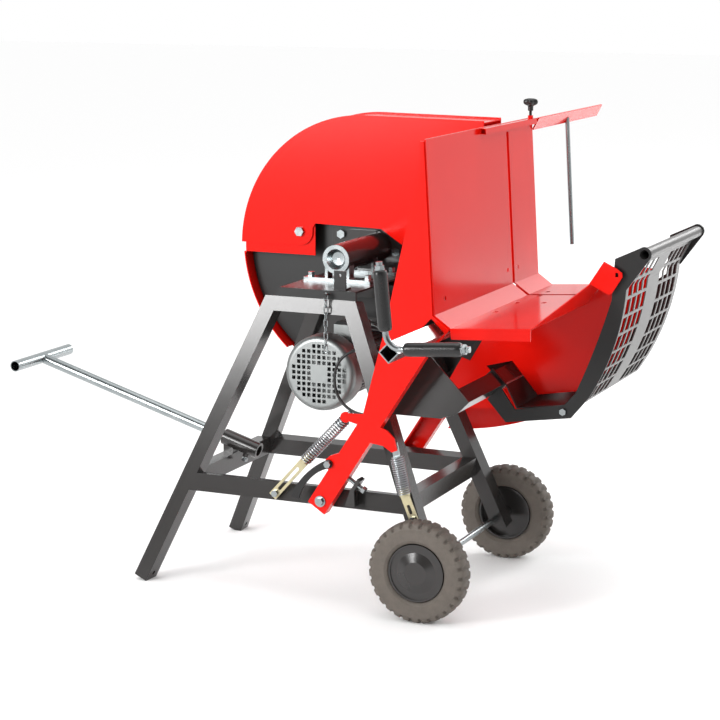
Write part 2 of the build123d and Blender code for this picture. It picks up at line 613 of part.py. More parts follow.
rotor = rod_y(MOTOR_X, MOTOR_Z, cowl_back - 40, pulley_y + PULLEY_W, MOTOR_SHAFT_R)
fan_hub = rod_y(MOTOR_X, MOTOR_Z, cowl_back - 40, cowl_back - 12, 26)
fan_blade = box(20, COWL_R - 16, cowl_back - 38, cowl_back - 14, -2, 2)
blades = [Pos(MOTOR_X, 0, MOTOR_Z) * Rot(0, 60 * i, 0) * fan_blade for i in range(6)]
keep("motor_rotor", rotor + fan_hub + blades)
keep("motor_pulley", v_pulley(MOTOR_X, MOTOR_Z, MOTOR_PULLEY_R, MOTOR_SHAFT_R))


def belt(y0, y1):
    """A belt round both pulleys: two half turns joined by the two straight runs."""
    def loop(extra):
        r1, r2 = ARBOR_PULLEY_R - 7 + extra, MOTOR_PULLEY_R - 7 + extra
        span = Vector(MOTOR_X - ARBOR_X, MOTOR_Z - ARBOR_Z)
        turn = degrees(atan((r1 - r2) / sqrt(span.length ** 2 - (r1 - r2) ** 2)))
        way = degrees(atan(span.Y / span.X)) + (180 if span.X < 0 else 0)
        a, b = way + 90 - turn, way - 90 + turn
        edges = [arc(ARBOR_X, ARBOR_Z, r1, a, b + 360),
                 Line(polar(ARBOR_X, ARBOR_Z, r1, b), polar(MOTOR_X, MOTOR_Z, r2, b)),
                 arc(MOTOR_X, MOTOR_Z, r2, b, a),
                 Line(polar(MOTOR_X, MOTOR_Z, r2, a), polar(ARBOR_X, ARBOR_Z, r1, a))]
        return make_face(edges)
    face = Plane.XZ * (loop(6) - loop(0))
    return Pos(0, y0, 0) * extrude(face, amount=y1 - y0, dir=(0, 1, 0))


pulley_end = pulley_y + PULLEY_W
keep("v_belts", belt(pulley_y + 5.7, pulley_y + 8.6), belt(pulley_end - 8.6, pulley_end - 5.7))

# The motor cable: out of the terminal box, round behind the near right leg, then in a loop before the cowl
# and down into the leg
CABLE_R = 4.0
cable_run = [(box_x + 36, -20, box_z + 32), (box_x + 96, -20, box_z + 32), (box_x + 144, -66, box_z + 24),
             (box_x + 130, -128, box_z + 11), (box_x + 75, -166, box_z + 2), (box_x + 33, -176, box_z - 28),
             (box_x + 20, -178, box_z - 79), (box_x + 32, -180, box_z - 129), (box_x + 72, -185, box_z - 162),
             (box_x + 124, -192, box_z - 169), (box_x + 190, -203, box_z - 166)]
cable_radii = []
for p, q, r in zip(cable_run, cable_run[1:], cable_run[2:]):
    u, w = Vector(*q) - Vector(*p), Vector(*r) - Vector(*q)
    cable_radii.append(0.45 * min(u.length, w.length) / tan(radians(u.get_angle(w)) / 2))
cable_path = FilletPolyline(*cable_run, radius=cable_radii)
cable = sweep(Plane(cable_run[0], z_dir=Vector(*cable_run[1]) - Vector(*cable_run[0])) * Circle(CABLE_R),
              path=cable_path)
leg_piece = [(right_inner(v), v) for v in (400, 700)] + [(right_outer(v), v) for v in (700, 400)]
cable = cable - side_plate(leg_piece, 0, TUBE_D)
keep("motor_cable", cable.solids().sort_by(SortBy.VOLUME)[-1])
print("cable radii", [round(r) for r in cable_radii], "volume over section times length",
      round(cable.volume / (pi * CABLE_R ** 2 * cable_path.length), 3))

# The fixed guard round the blade: dark walls, a red rim and the red side sheet on the left
wall_x = ARBOR_X + 128
roof_r = HOOD_R - ROOF_DROP
lid_r = roof_r - SHEET - 2


def guard_wall(y0, x_limit, top):
    """A round wall cut off on the right and at the top."""
    disc = rod_y(ARBOR_X, ARBOR_Z, y0, y0 + SHEET, GUARD_R - SHEET)
    disc &= rod_y(HOOD_X, HOOD_Z, y0, y0 + SHEET, lid_r - SHEET)
    return disc & box(ARBOR_X - GUARD_R, x_limit, y0 - 1, y0 + SHEET + 1, ARBOR_Z - GUARD_R, top)


wall_tail = [(wall_x - 5, 505), (322, 505), (404, 590), (436, 640), (436, 690), (wall_x - 5, 690)]
near_wall = guard_wall(GUARD_WALL_Y, wall_x, ARBOR_Z + 112)
near_wall += plate(wall_tail, GUARD_WALL_Y, GUARD_WALL_Y + SHEET)
near_wall -= plate([(wall_x - 56, ARBOR_Z + 113), (wall_x + 1, ARBOR_Z + 12), (wall_x + 1, ARBOR_Z + 113)],
                   GUARD_WALL_Y - 1, GUARD_WALL_Y + SHEET + 1)
near_wall -= rod_y(ARBOR_X, ARBOR_Z, GUARD_WALL_Y - 1, GUARD_WALL_Y + SHEET + 1, HOUSING_BORE)
near_wall -= rod_y(MOTOR_X, MOTOR_Z, GUARD_WALL_Y - 1, GUARD_WALL_Y + SHEET + 1, MOTOR_SHAFT_R + 12)
for x, z in flange_bolt_spots:
    near_wall -= rod_y(x, z, GUARD_WALL_Y - 1, GUARD_WALL_Y + SHEET + 1, 6)
far_wall = guard_wall(GUARD_FAR_Y, ARBOR_X + 36, ARBOR_Z + 112)
keep("guard_walls", near_wall, far_wall)


def band(x, z, r, a0, a1, y0, y1):
    """A curved strip of sheet between two radii and two angles."""
    inner = r - SHEET
    edges = [arc(x, z, r, a0, a1), Line(polar(x, z, r, a1), polar(x, z, inner, a1)),
             arc(x, z, inner, a1, a0), Line(polar(x, z, inner, a0), polar(x, z, r, a0))]
    return plate(edges, y0, y1)


side_sheet_y = HOOD_Y + SHEET + AIR
sheet_down = HOOD_Z - SIDE_SHEET_Z
sheet_deg = 180 + degrees(asin(sheet_down / lid_r))
join_deg = 180 + degrees(atan((ARBOR_Z - SIDE_SHEET_Z) / (ARBOR_X - HOOD_X + lid_r)))
rim_main = band(ARBOR_X, ARBOR_Z, GUARD_R, join_deg, 275, GUARD_WALL_Y, GUARD_FAR_Y + SHEET)
rim_lip = band(ARBOR_X, ARBOR_Z, GUARD_R, join_deg, 228, side_sheet_y, GUARD_WALL_Y)
roof_fixed = band(HOOD_X, HOOD_Z, lid_r, HOOD_SEAM_DEG - 5, sheet_deg, side_sheet_y, GUARD_FAR_Y + SHEET)
joggle_x = sorted((ARBOR_X - GUARD_R + SHEET / 2, HOOD_X - lid_r + SHEET / 2))
joggle = box(*joggle_x, side_sheet_y, GUARD_FAR_Y + SHEET, SIDE_SHEET_Z - 4, SIDE_SHEET_Z)
keep("guard_rim", rim_main + rim_lip + roof_fixed + joggle)

sheet_r = lid_r - SHEET
tip = (HOOD_PIVOT_X + 20, HOOD_PIVOT_Z + 96)
knee = (HOOD_PIVOT_X + 45, HOOD_PIVOT_Z + 25)
heel = (HOOD_PIVOT_X + 45, SIDE_SHEET_Z)
sheet_edges = [Polyline(polar(HOOD_X, HOOD_Z, sheet_r, HOOD_SEAM_DEG - 5), tip, knee, heel,
                        polar(HOOD_X, HOOD_Z, sheet_r, sheet_deg)),
               arc(HOOD_X, HOOD_Z, sheet_r, sheet_deg, HOOD_SEAM_DEG - 5)]
side_sheet = plate(sheet_edges, side_sheet_y, side_sheet_y + SHEET)
side_sheet += box(HOOD_PIVOT_X - 22, HOOD_PIVOT_X + 22, side_sheet_y + SHEET, GUARD_WALL_Y,
                  HOOD_PIVOT_Z - 22, HOOD_PIVOT_Z + 22)
side_sheet -= rod_y(HOOD_PIVOT_X, HOOD_PIVOT_Z, side_sheet_y - 1, GUARD_WALL_Y - 10, HOOD_PIVOT_R)
far_strap = box(HOOD_PIVOT_X - 22, HOOD_PIVOT_X + 22, GUARD_FAR_Y + SHEET, HOOD_FAR_Y - AIR,
                HOOD_PIVOT_Z - 22, HOOD_PIVOT_Z + 22)
far_strap -= rod_y(HOOD_PIVOT_X, HOOD_PIVOT_Z, GUARD_FAR_Y, HOOD_FAR_Y, HOOD_PIVOT_R)
keep("guard_side_sheet", side_sheet, far_strap)

# The lifting hood: two walls and a roof, hung on two bolts
LUG_R = 39.0
lug_x, lug_z = HOOD_PIVOT_X, HOOD_PIVOT_Z
hood_end_z = HOOD_Z + HOOD_R - HOOD_END_DROP
roof_end = hood_end_z - ROOF_DROP
roof_top = polar(HOOD_X, HOOD_Z, roof_r, HOOD_TOP_DEG)
roof_under = polar(HOOD_X, HOOD_Z, roof_r - SHEET, HOOD_TOP_DEG)
hood_roof = [arc(HOOD_X, HOOD_Z, roof_r, HOOD_SEAM_DEG, HOOD_TOP_DEG),
             Polyline(roof_top, (HOOD_END_X, roof_end), (HOOD_END_X, roof_end - SHEET), roof_under),
             arc(HOOD_X, HOOD_Z, roof_r - SHEET, HOOD_TOP_DEG, HOOD_SEAM_DEG),
             Line(polar(HOOD_X, HOOD_Z, roof_r - SHEET, HOOD_SEAM_DEG),
                  polar(HOOD_X, HOOD_Z, roof_r, HOOD_SEAM_DEG))]
low_deg = 180 - degrees(asin((lug_z - LUG_R - HOOD_Z) / HOOD_R))
hood_front = [(HOOD_END_X, hood_end_z), (HOOD_END_X, hood_end_z - 18), (HOOD_END_X - 115, hood_end_z - 68),
              (HOOD_END_X - 185, hood_end_z - 166), (HOOD_END_X - 203, hood_end_z - 233),
              (ARBOR_X + 85, lug_z - 21), (ARBOR_X + 22, lug_z + 20), (lug_x + 48, lug_z + 25),
              (lug_x + LUG_R, lug_z + 12), (lug_x + LUG_R, lug_z)]


def hood_wall(r, start_deg, y0):
    """One side of the hood: an arc, the straight top, the front edge and the lug round the pivot bolt."""
    top = polar(HOOD_X, HOOD_Z, r, HOOD_TOP_DEG)
    edges = [arc(HOOD_X, HOOD_Z, r, start_deg, HOOD_TOP_DEG), Polyline(top, *hood_front),
             arc(lug_x, lug_z, LUG_R, 0, -90),
             Line((lug_x, lug_z - LUG_R), polar(HOOD_X, HOOD_Z, r, start_deg))]
    return plate(edges, y0, y0 + SHEET)


pivot_hole = rod_y(lug_x, lug_z, HOOD_Y - 5, HOOD_FAR_Y + 10, HOOD_PIVOT_R + RUN)
hood = plate(hood_roof, HOOD_Y, HOOD_FAR_Y + SHEET)
hood += hood_wall(HOOD_R, low_deg, HOOD_Y) + hood_wall(HOOD_R, low_deg, HOOD_FAR_Y)
keep("hood", hood - pivot_hole)

pivot_near = rod_y(lug_x, lug_z, HOOD_Y - 1, GUARD_WALL_Y - 10, HOOD_PIVOT_R)
pivot_near += hexagon_y(lug_x, lug_z, HOOD_Y - 9, HOOD_Y - 1, 24)
pivot_far = rod_y(lug_x, lug_z, GUARD_FAR_Y + SHEET, HOOD_FAR_Y + SHEET + 1, HOOD_PIVOT_R)
pivot_far += hexagon_y(lug_x, lug_z, HOOD_FAR_Y + SHEET + 1, HOOD_FAR_Y + SHEET + 9, 24)

# The swinging trough: a folded sheet with a long slot for the blade
lean_panel = (PANEL_TOP[0] - PANEL_FOOT[0]) / (PANEL_TOP[1] - PANEL_FOOT[1])


def panel_x(z):
    """X of the panel's front face at a height."""
    return PANEL_FOOT[0] + lean_panel * (z - PANEL_FOOT[1])


fold_front = [PANEL_TOP, PANEL_FOOT, CHAMFER_FOOT, TABLE_END]
back_foot = (PANEL_FOOT[0] - TROUGH_T, PANEL_FOOT[1] - TROUGH_T * 0.35)
back_chamfer = (CHAMFER_FOOT[0] - TROUGH_T * 0.25, CHAMFER_FOOT[1] - TROUGH_T)
fold_back = [(TABLE_END[0], TABLE_END[1] - TROUGH_T), back_chamfer, back_foot,
             (PANEL_TOP[0] - TROUGH_T, PANEL_TOP[1])]
trough = plate(fold_front + fold_back, TROUGH_NEAR_Y, TROUGH_FAR_Y)
slot = box(PANEL_TOP[0] - 20, SLOT_END_X, BLADE_Y - SLOT_W / 2, BLADE_Y + SLOT_W / 2, CHAMFER_FOOT[1] - 20,
           SLOT_TOP_Z)
lip_points = [CHAMFER_FOOT, TABLE_END, (TABLE_END[0], TABLE_END[1] - LIP_H),
              (CHAMFER_FOOT[0] + 4, CHAMFER_FOOT[1] - LIP_H + 4)]
near_lip = plate(lip_points, TROUGH_NEAR_Y - TROUGH_T, TROUGH_NEAR_Y)
far_lip = plate(lip_points, TROUGH_FAR_Y, TROUGH_FAR_Y + TROUGH_T)
trough = trough - slot + near_lip + far_lip
flange_top = panel_x(SLOT_TOP_Z) - TROUGH_T
slot_flange = [(flange_top, SLOT_TOP_Z), back_foot, (back_foot[0] - SLOT_FLANGE, back_foot[1]),
               (flange_top - SLOT_FLANGE, SLOT_TOP_Z)]
for y0 in (BLADE_Y - SLOT_W / 2 - SHEET, BLADE_Y + SLOT_W / 2):
    trough += plate(slot_flange, y0, y0 + SHEET)
for y, z in ((-222, 832), (242, 842), (322, 840)):
    x = panel_x(z)
    trough -= box(x - 12, x + 12, y - 6, y + 6, z - 5, z + 5)
for x, y in ((550, -28), (551, 132), (627, 134), (570, 262), (567, 340)):
    trough -= box(x - 6, x + 6, y - 9, y + 9, CHAMFER_FOOT[1] - 14, TABLE_END[1] + 10)
keep("trough", trough)


# The cradle's near side: a leaning folded post that widens into a gusset up to the panel
def along_post(t, across):
    """A point of the post's side view: a length up from the pivot, and across it to the right."""
    up = Vector(0.540, 0.842)
    right = Vector(0.842, -0.540)
    p = Vector(PIVOT_X, PIVOT_Z) + up * t + right * across
    return (p.X, p.Y)


POST_W = 56.0
POST_DOWN = 24.0
post_left_low = along_post(-POST_DOWN, -POST_W / 2)
post_right_low = along_post(-POST_DOWN, POST_W / 2)
post_left_high = along_post(268, -POST_W / 2)
post_right_high = along_post(495, POST_W / 2)
side_points = [post_left_low, post_right_low, post_right_high, back_chamfer, back_foot,
               (panel_x(1238) - TROUGH_T, 1238), (panel_x(1238) - 14, 1238), (PANEL_TOP[0] - 12, 1189),
               (350, 753), post_left_high]
side_near = plate(side_points, CRADLE_Y, CRADLE_Y + SIDE_T)
right_flange = plate([post_right_low, post_right_high, shifted(post_right_high, along_post(495, 0), SIDE_T),
                      shifted(post_right_low, along_post(-POST_DOWN, 0), SIDE_T)],
                     CRADLE_Y, CRADLE_Y + POST_D)
left_flange = plate([post_left_low, post_left_high, shifted(post_left_high, along_post(268, 0), SIDE_T),
                     shifted(post_left_low, along_post(-POST_DOWN, 0), SIDE_T)], CRADLE_Y, CRADLE_Y + POST_D)
tube_half = TILT_TUBE_W / sqrt(2)
HOLE_ROOM = 9.0
tube_hole = plate(diamond(TILT_TUBE_X - 3, TILT_TUBE_Z + 4, tube_half + HOLE_ROOM), CRADLE_Y - 1,
                  CRADLE_Y + SIDE_T + 1)
left_tab_spot = lerp(LEFT_SPRING[0], LEFT_SPRING[1], -0.10)
right_tab_spot = lerp(RIGHT_SPRING[0], RIGHT_SPRING[1], -0.30)
ear_spot = (193.0, 387.0)


def spring_tab(spot, root_a, root_b, r):
    """A lug beside the post, from two root points to a rounded end at the spring's hole."""
    tip = [(spot[0] + r * 0.7, spot[1] - r * 0.7), (spot[0] - r * 0.7, spot[1] + r * 0.7)]
    round_end = rod_y(spot[0], spot[1], CRADLE_Y, CRADLE_Y + SIDE_T, r)
    return plate([root_a, root_b] + tip, CRADLE_Y, CRADLE_Y + SIDE_T) + round_end


side_near += right_flange + left_flange
side_near += spring_tab(left_tab_spot, along_post(285, -10), along_post(245, -10), 14)
side_near += plate([along_post(268, 10), (358, 490), (378, 471), (386, 440), (371, 434), (347, 449),
                    along_post(212, 10)],
                   CRADLE_Y, CRADLE_Y + SIDE_T)
ear_lug = [along_post(168, -10), along_post(80, -10), (ear_spot[0] + 4, ear_spot[1] - 22),
           (ear_spot[0] - 10, ear_spot[1] - 10), (ear_spot[0] - 10, ear_spot[1] + 10),
           (ear_spot[0] + 4, ear_spot[1] + 22)]
side_near += plate(ear_lug, CRADLE_Y, CRADLE_Y + SIDE_T)
pivot_bore_near = rod_y(PIVOT_X, PIVOT_Z, CRADLE_Y - 1, CRADLE_Y + SIDE_T + 1, PIVOT_R + RUN)
ear_bore = rod_y(ear_spot[0], ear_spot[1], CRADLE_Y - 1, CRADLE_Y + SIDE_T + 1, 5)
keep("cradle_side_near", side_near - tube_hole - pivot_bore_near - ear_bore)

# The far post stands beyond the blade
far_top = [back_chamfer, (back_foot[0], back_foot[1]), (back_foot[0] - 6, back_foot[1] - 30)]
far_points = [post_left_low, post_right_low, post_right_high] + far_top + [along_post(420, -POST_W / 2)]
post_far = plate(far_points, FAR_POST_Y + POST_D - SIDE_T, FAR_POST_Y + POST_D)
far_right = plate([post_right_low, post_right_high, shifted(post_right_high, along_post(495, 0), SIDE_T),
                   shifted(post_right_low, along_post(-POST_DOWN, 0), SIDE_T)],
                  FAR_POST_Y, FAR_POST_Y + POST_D)
far_left = plate([post_left_low, along_post(420, -POST_W / 2), along_post(420, SIDE_T - POST_W / 2),
                  shifted(post_left_low, along_post(-POST_DOWN, 0), SIDE_T)], FAR_POST_Y, FAR_POST_Y + POST_D)
pivot_bore_far = rod_y(PIVOT_X, PIVOT_Z, FAR_POST_Y, FAR_POST_Y + POST_D + 1, PIVOT_R + RUN)
far_tube_hole = plate(diamond(TILT_TUBE_X, TILT_TUBE_Z, tube_half), FAR_POST_Y - 1, FAR_POST_Y + POST_D + 1)
keep("cradle_post_far", post_far + far_right + far_left - pivot_bore_far - far_tube_hole)

# The pivot pins of the cradle, through the side rails
rail_in = side_y(PIVOT_Z) - RAIL_D / cos(lean_angle) - 4
pin_near = rod_y(PIVOT_X, PIVOT_Z, CRADLE_Y - 2, -rail_in, PIVOT_R)
pin_near += hexagon_y(PIVOT_X, PIVOT_Z, CRADLE_Y - 11, CRADLE_Y - 4, 19)
pin_near += rod_y(PIVOT_X, PIVOT_Z, CRADLE_Y - 4, CRADLE_Y - 1, PIVOT_R + 3)
pin_near += rod_y(PIVOT_X, PIVOT_Z, CRADLE_Y + SIDE_T + 1, -side_y(PIVOT_Z - 20) - 1, PIVOT_R + 8)
far_out = FAR_POST_Y + POST_D
pin_far = rod_y(PIVOT_X, PIVOT_Z, rail_in, far_out + 2, PIVOT_R)
pin_far += hexagon_y(PIVOT_X, PIVOT_Z, far_out + 2, far_out + 13, 36)
pin_far += rod_y(PIVOT_X, PIVOT_Z, side_y(PIVOT_Z - 20) + 1, far_out - SIDE_T - 1, PIVOT_R + 8)
keep("pivot_pins", pin_near, pin_far, pivot_near, pivot_far)

# The pocket plates under the table, notched for the beam of the grid guard
notch_r = hypot(BEAM_X - half_beam - PIVOT_X, BEAM_Z - PIVOT_Z) - 9
notch_a = (BEAM_X + 11, BEAM_Z + half_beam + 9)
notch_in = polar(PIVOT_X, PIVOT_Z, notch_r, 46.5)
table_low = (TABLE_END[0], TABLE_END[1] - TROUGH_T)
pocket_root = (PANEL_FOOT[0] + 4, PANEL_FOOT[1] - 12)
pocket_tip = (TABLE_END[0] + 104, TABLE_END[1] + 60)
far_pocket_y = 2 * BLADE_Y - POCKET_Y - SHEET


def pocket_plate(y0, notch_low_deg, low_right, low_mid, low_left):
    """A plate under the table: round the beam on an arc about the pivot, and down to its lower edge."""
    notch_low = polar(PIVOT_X, PIVOT_Z, notch_r, notch_low_deg)
    notch_mid = polar(PIVOT_X, PIVOT_Z, notch_r, (46.5 + notch_low_deg) / 2)
    edges = [Polyline(pocket_root, back_chamfer, table_low, (TABLE_END[0] + 50, TABLE_END[1] + 64),
                      pocket_tip),
             ThreePointArc(pocket_tip, (808.0, 706.0), (728.0, 540.0)),
             Polyline((728.0, 540.0), (608.0, 520.0), notch_a, notch_in),
             ThreePointArc(notch_in, notch_mid, notch_low), Line(notch_low, low_right),
             ThreePointArc(low_right, low_mid, low_left),
             Polyline(low_left, (348.0, 540.0), (386.0, 606.0), (410.0, 598.0), (444.0, 656.0), pocket_root)]
    return plate(edges, y0, y0 + SHEET) - plate(diamond(TILT_TUBE_X, TILT_TUBE_Z, tube_half), y0 - 1,
                                                y0 + SHEET + 1)


keep("pocket_plates", pocket_plate(POCKET_Y, 27.0, (500.0, 472.0), (420.0, 466.0), (330.0, 462.0)),
     pocket_plate(far_pocket_y, 17.0, (493.0, 385.0), (372.0, 351.5), (240.0, 337.0)))

# The ear beside the grid guard's near arm, folded up from the table's end
ear_y = ARM_Y - 15
ear = plate([(792, 856), (831, 916), (866, 899), (880, 889), (881, 878), (855, 836), (845, 830)], ear_y,
            ear_y + SHEET + 1)
ear -= box(862, 870, ear_y - 1, ear_y + 6, 878, 889)
fold_low, fold_high = (TABLE_END[0], TABLE_END[1]), (796, 858)
facet_corners = [Vector(fold_low[0], TROUGH_NEAR_Y, fold_low[1]), Vector(fold_low[0], POCKET_Y, fold_low[1]),
                 Vector(fold_high[0], POCKET_Y, fold_high[1]),
                 Vector(fold_high[0], ear_y + SHEET + 1, fold_high[1])]
facet = extrude(Face(Wire.make_polygon(facet_corners, close=True)), amount=SHEET, dir=(0.8, 0, -0.6))
keep("ear_plate", ear + facet)

# The square tilting tube, near and far of the blade


def tilt_tube(y0, y1):
    """A length of the square tube that stands on its corner."""
    outer = plate(diamond(TILT_TUBE_X, TILT_TUBE_Z, tube_half), y0, y1)
    return outer - plate(diamond(TILT_TUBE_X, TILT_TUBE_Z, tube_half - TUBE_WALL * sqrt(2)), y0 - 1, y1 + 1)


trough_cut = plate([PANEL_TOP, PANEL_FOOT, CHAMFER_FOOT, TABLE_END] + fold_back, TROUGH_NEAR_Y - 20,
                   TROUGH_FAR_Y + 20)
near_tube = tilt_tube(TILT_TUBE_END_Y, BLADE_Y - SLOT_W / 2 - 14) - trough_cut
far_tube = tilt_tube(BLADE_Y + SLOT_W / 2 + 12, TROUGH_FAR_Y - 4) - trough_cut
keep("tilt_tubes", near_tube.solids().sort_by(SortBy.VOLUME)[-1],
     far_tube.solids().sort_by(SortBy.VOLUME)[-1])

# The handle: one bent rod across the tube's near end, with a grip on each arm
handle_y = TILT_TUBE_END_Y - HANDLE_ROD_R
corner = (TILT_TUBE_X, TILT_TUBE_Z + 10)
tall_end = (corner[0] - 22, corner[1] + 212)
flat_end = (corner[0] + 213, corner[1] + 16)
rod_points = [Vector(x, handle_y, z) for x, z in (tall_end, corner, flat_end)]
bend = FilletPolyline(*rod_points, radius=40)
rod = sweep(Plane(rod_points[0], z_dir=rod_points[1] - rod_points[0]) * Circle(HANDLE_ROD_R), path=bend)
keep("handle_rod", rod)


def on_rod(a, b, length):
    """A point in the handle's plane at a length from a toward b."""
    p = shifted(a, b, length)
    return (p[0], handle_y, p[1])


GRIP_L = 148.0
ROD_TIP = 20.0
grips = []
nuts = []
for end in (tall_end, flat_end):
    core = bar(on_rod(end, corner, -2), on_rod(end, corner, ROD_TIP + GRIP_L + 2), HANDLE_ROD_R)
    grips.append(bar(on_rod(end, corner, ROD_TIP), on_rod(end, corner, ROD_TIP + GRIP_L), GRIP_R) - core)
    washer_seat = on_rod(end, corner, ROD_TIP - 3)
    nut = hex_bolt(washer_seat, Vector(*on_rod(end, corner, 0)) - Vector(*washer_seat), 22, 8, 12.5, 3)
    nuts.append(nut - core)
keep("handle_grips", *grips)

# The balance springs: each one an unbroken wire on half-turn biarcs


def biarc(p, u, q, w):
    """Two circular arcs that join two points with given unit directions and meet smoothly."""
    d = q - p
    s = u + w
    a = 4 - s.dot(s)
    b = 2 * d.dot(s)
    c = -d.dot(d)
    k = (-b + sqrt(b * b - 4 * a * c)) / (2 * a)
    middle = (p + u * k + q - w * k) * 0.5
    m = (q - w * k - p - u * k).normalized()
    return [Edge.make_tangent_arc(p, u, middle), Edge.make_tangent_arc(middle, m, q)]


def coil(p, q, y, r_out, wire, turns):
    """A helical spring between two points of a plane across Y, with its least self gap."""
    a, b = Vector(p[0], y, p[1]), Vector(q[0], y, q[1])
    axis = (b - a).normalized()
    side = Vector(0, 1, 0)
    other = axis.cross(side)
    mean = r_out - wire / 2
    usable = (b - a).length - wire
    rise = usable / turns

    def point(t):
        return a + axis * (wire / 2 + rise * t) + (side * cos(2 * pi * t) + other * sin(2 * pi * t)) * mean

    def heading(t):
        d = axis * rise + (other * cos(2 * pi * t) - side * sin(2 * pi * t)) * (2 * pi * mean)
        return d.normalized()

    edges = []
    for i in range(2 * turns):
        edges += biarc(point(i / 2), heading(i / 2), point((i + 1) / 2), heading((i + 1) / 2))
    tube = sweep(Plane(point(0), z_dir=heading(0)) * Circle(wire / 2), path=Wire(edges))
    places = [e.position_at(f) for e in edges[:12] for f in (0, 0.25, 0.5, 0.75)]
    far_pairs = [(p, q) for i, p in enumerate(places) for q in places[i + 9:]]
    return tube, min((p - q).length for p, q in far_pairs) - wire


left_coil, left_gap = coil(LEFT_SPRING[0], LEFT_SPRING[1], SPRING_Y, LEFT_SPRING_R, LEFT_WIRE, LEFT_TURNS)
right_coil, right_gap = coil(RIGHT_SPRING[0], RIGHT_SPRING[1], SPRING_Y, RIGHT_SPRING_R, RIGHT_WIRE,
                             RIGHT_TURNS)
keep("spring_left", left_coil)
keep("spring_right", right_coil)
print("least gap of the springs to themselves", round(left_gap, 2), round(right_gap, 2))


def plug(end, other, r, length, neck):
    """A threaded plug in a spring's end, with a flat eye that reaches out along the axis."""
    a, b = Vector(end[0], SPRING_Y, end[1]), Vector(other[0], SPRING_Y, other[1])
    way = (b - a).normalized()
    core = bar(tuple(a - way * 2), tuple(a + way * length), r)
    eye = extrude(Plane(tuple(a - way * (neck / 2 + 2)), x_dir=way, z_dir=(0, -1, 0)) * Rectangle(neck, 18),
                  amount=2.5, both=True)
    return core + eye


plugs = [plug(LEFT_SPRING[0], LEFT_SPRING[1], LEFT_SPRING_R - LEFT_WIRE - 0.2, 24, 26),
         plug(RIGHT_SPRING[0], RIGHT_SPRING[1], RIGHT_SPRING_R - RIGHT_WIRE - 0.2, 18, 36)]
tab_boss = []
for spot in (left_tab_spot, right_tab_spot):
    tab_boss.append(rod_y(spot[0], spot[1], CRADLE_Y + SIDE_T, SPRING_Y - 2.5, 8))
keep("spring_plugs", plugs[0] + tab_boss[0], plugs[1] + tab_boss[1])

left_anchor = (24.0, 284.0)
right_anchor = (424.0, 255.0)


def strap(spring, anchor, r, wire, depth):
    """The lower plug of a spring with a slotted strap down to its anchor bolt."""
    low = plug(spring[1], spring[0], r - wire - 0.2, depth, 20)
    a = shifted(spring[1], anchor, 12)
    way = Vector(anchor[0] - a[0], 0, anchor[1] - a[1])
    mid = lerp(a, anchor, 0.5)
    seat = Plane((mid[0], SPRING_Y, mid[1]), x_dir=way, z_dir=(0, -1, 0))
    flat = extrude(seat * (Rectangle(way.length + 24, 24) - SlotOverall(max(way.length - 30, 26), 9)),
                   amount=2.5, both=True)
    hole = rod_y(anchor[0], anchor[1], SPRING_Y - 9, SPRING_Y + 9, 5)
    return low + flat - hole


straps = [strap(LEFT_SPRING, left_anchor, LEFT_SPRING_R, LEFT_WIRE, 24),
          strap(RIGHT_SPRING, right_anchor, RIGHT_SPRING_R, RIGHT_WIRE, 18)]
keep("spring_straps", *straps)


def anchor_bolt(spot):
    """A bolt from the strap into the frame, with a spacer between them."""
    face = -side_y(spot[1] - 14) - 0.2
    head = hexagon_y(spot[0], spot[1], SPRING_Y - 9.5, SPRING_Y - 2.5, 17)
    shank = rod_y(spot[0], spot[1], SPRING_Y - 2.5, face, 5)
    return head + shank + rod_y(spot[0], spot[1], SPRING_Y + 2.5, face, 9)


anchor_bolts = [anchor_bolt(left_anchor), anchor_bolt(right_anchor)]

# The rest stop: a bracket on the near rail with an adjusting bolt against the post
STOP_UP = 96.0
stop_touch = along_post(STOP_UP, POST_W / 2)
stop_out = along_post(STOP_UP, POST_W / 2 + 46)
stop_y0, stop_y1 = CRADLE_Y + 6, -side_y(rail_z0)
stop_mid_y = CRADLE_Y + POST_D / 2
stop_heel = along_post(STOP_UP - 16, POST_W / 2 + 32)
block = [along_post(STOP_UP - 22, POST_W / 2 + 22), along_post(STOP_UP + 18, POST_W / 2 + 22),
         along_post(STOP_UP + 18, POST_W / 2 + 32),
         stop_heel, (stop_heel[0] + 2, RAIL_Z - 10), (stop_heel[0] - 26, RAIL_Z - 10)]
stop_bracket = plate(block, stop_y0, stop_y1)
rail_core = side_plate([(left_inner(v_rail1), v_rail1), (right_inner(v_rail1), v_rail1),
                        (right_inner(v_rail0), v_rail0),
                        (left_inner(v_rail0), v_rail0)], 0, RAIL_D)
stop_way = Vector(stop_touch[0] - stop_out[0], 0, stop_touch[1] - stop_out[1]).normalized()
stop_tip = Vector(stop_touch[0], stop_mid_y, stop_touch[1]) - stop_way * 0.5
stop_back = Vector(stop_out[0], stop_mid_y, stop_out[1])
stop_bolt = hex_bolt(tuple(stop_back), -stop_way, 19, 9, 6, (stop_tip - stop_back).length)
keep("stop_bracket", stop_bracket - stop_bolt - rail_core)

arm_bolt = hex_bolt((723.0, ARM_Y, 507.0), (0, -1, 0), 17, 7, 5, ARM_T)
keep("hex_bolts", drawbar_screw, *saddle_bolts, *anchor_bolts, stop_bolt, arm_bolt,
     *[hex_bolt((x, flange_y0, z), (0, -1, 0), 22, 10, 6, 8 + SHEET) for x, z in flange_bolt_spots])

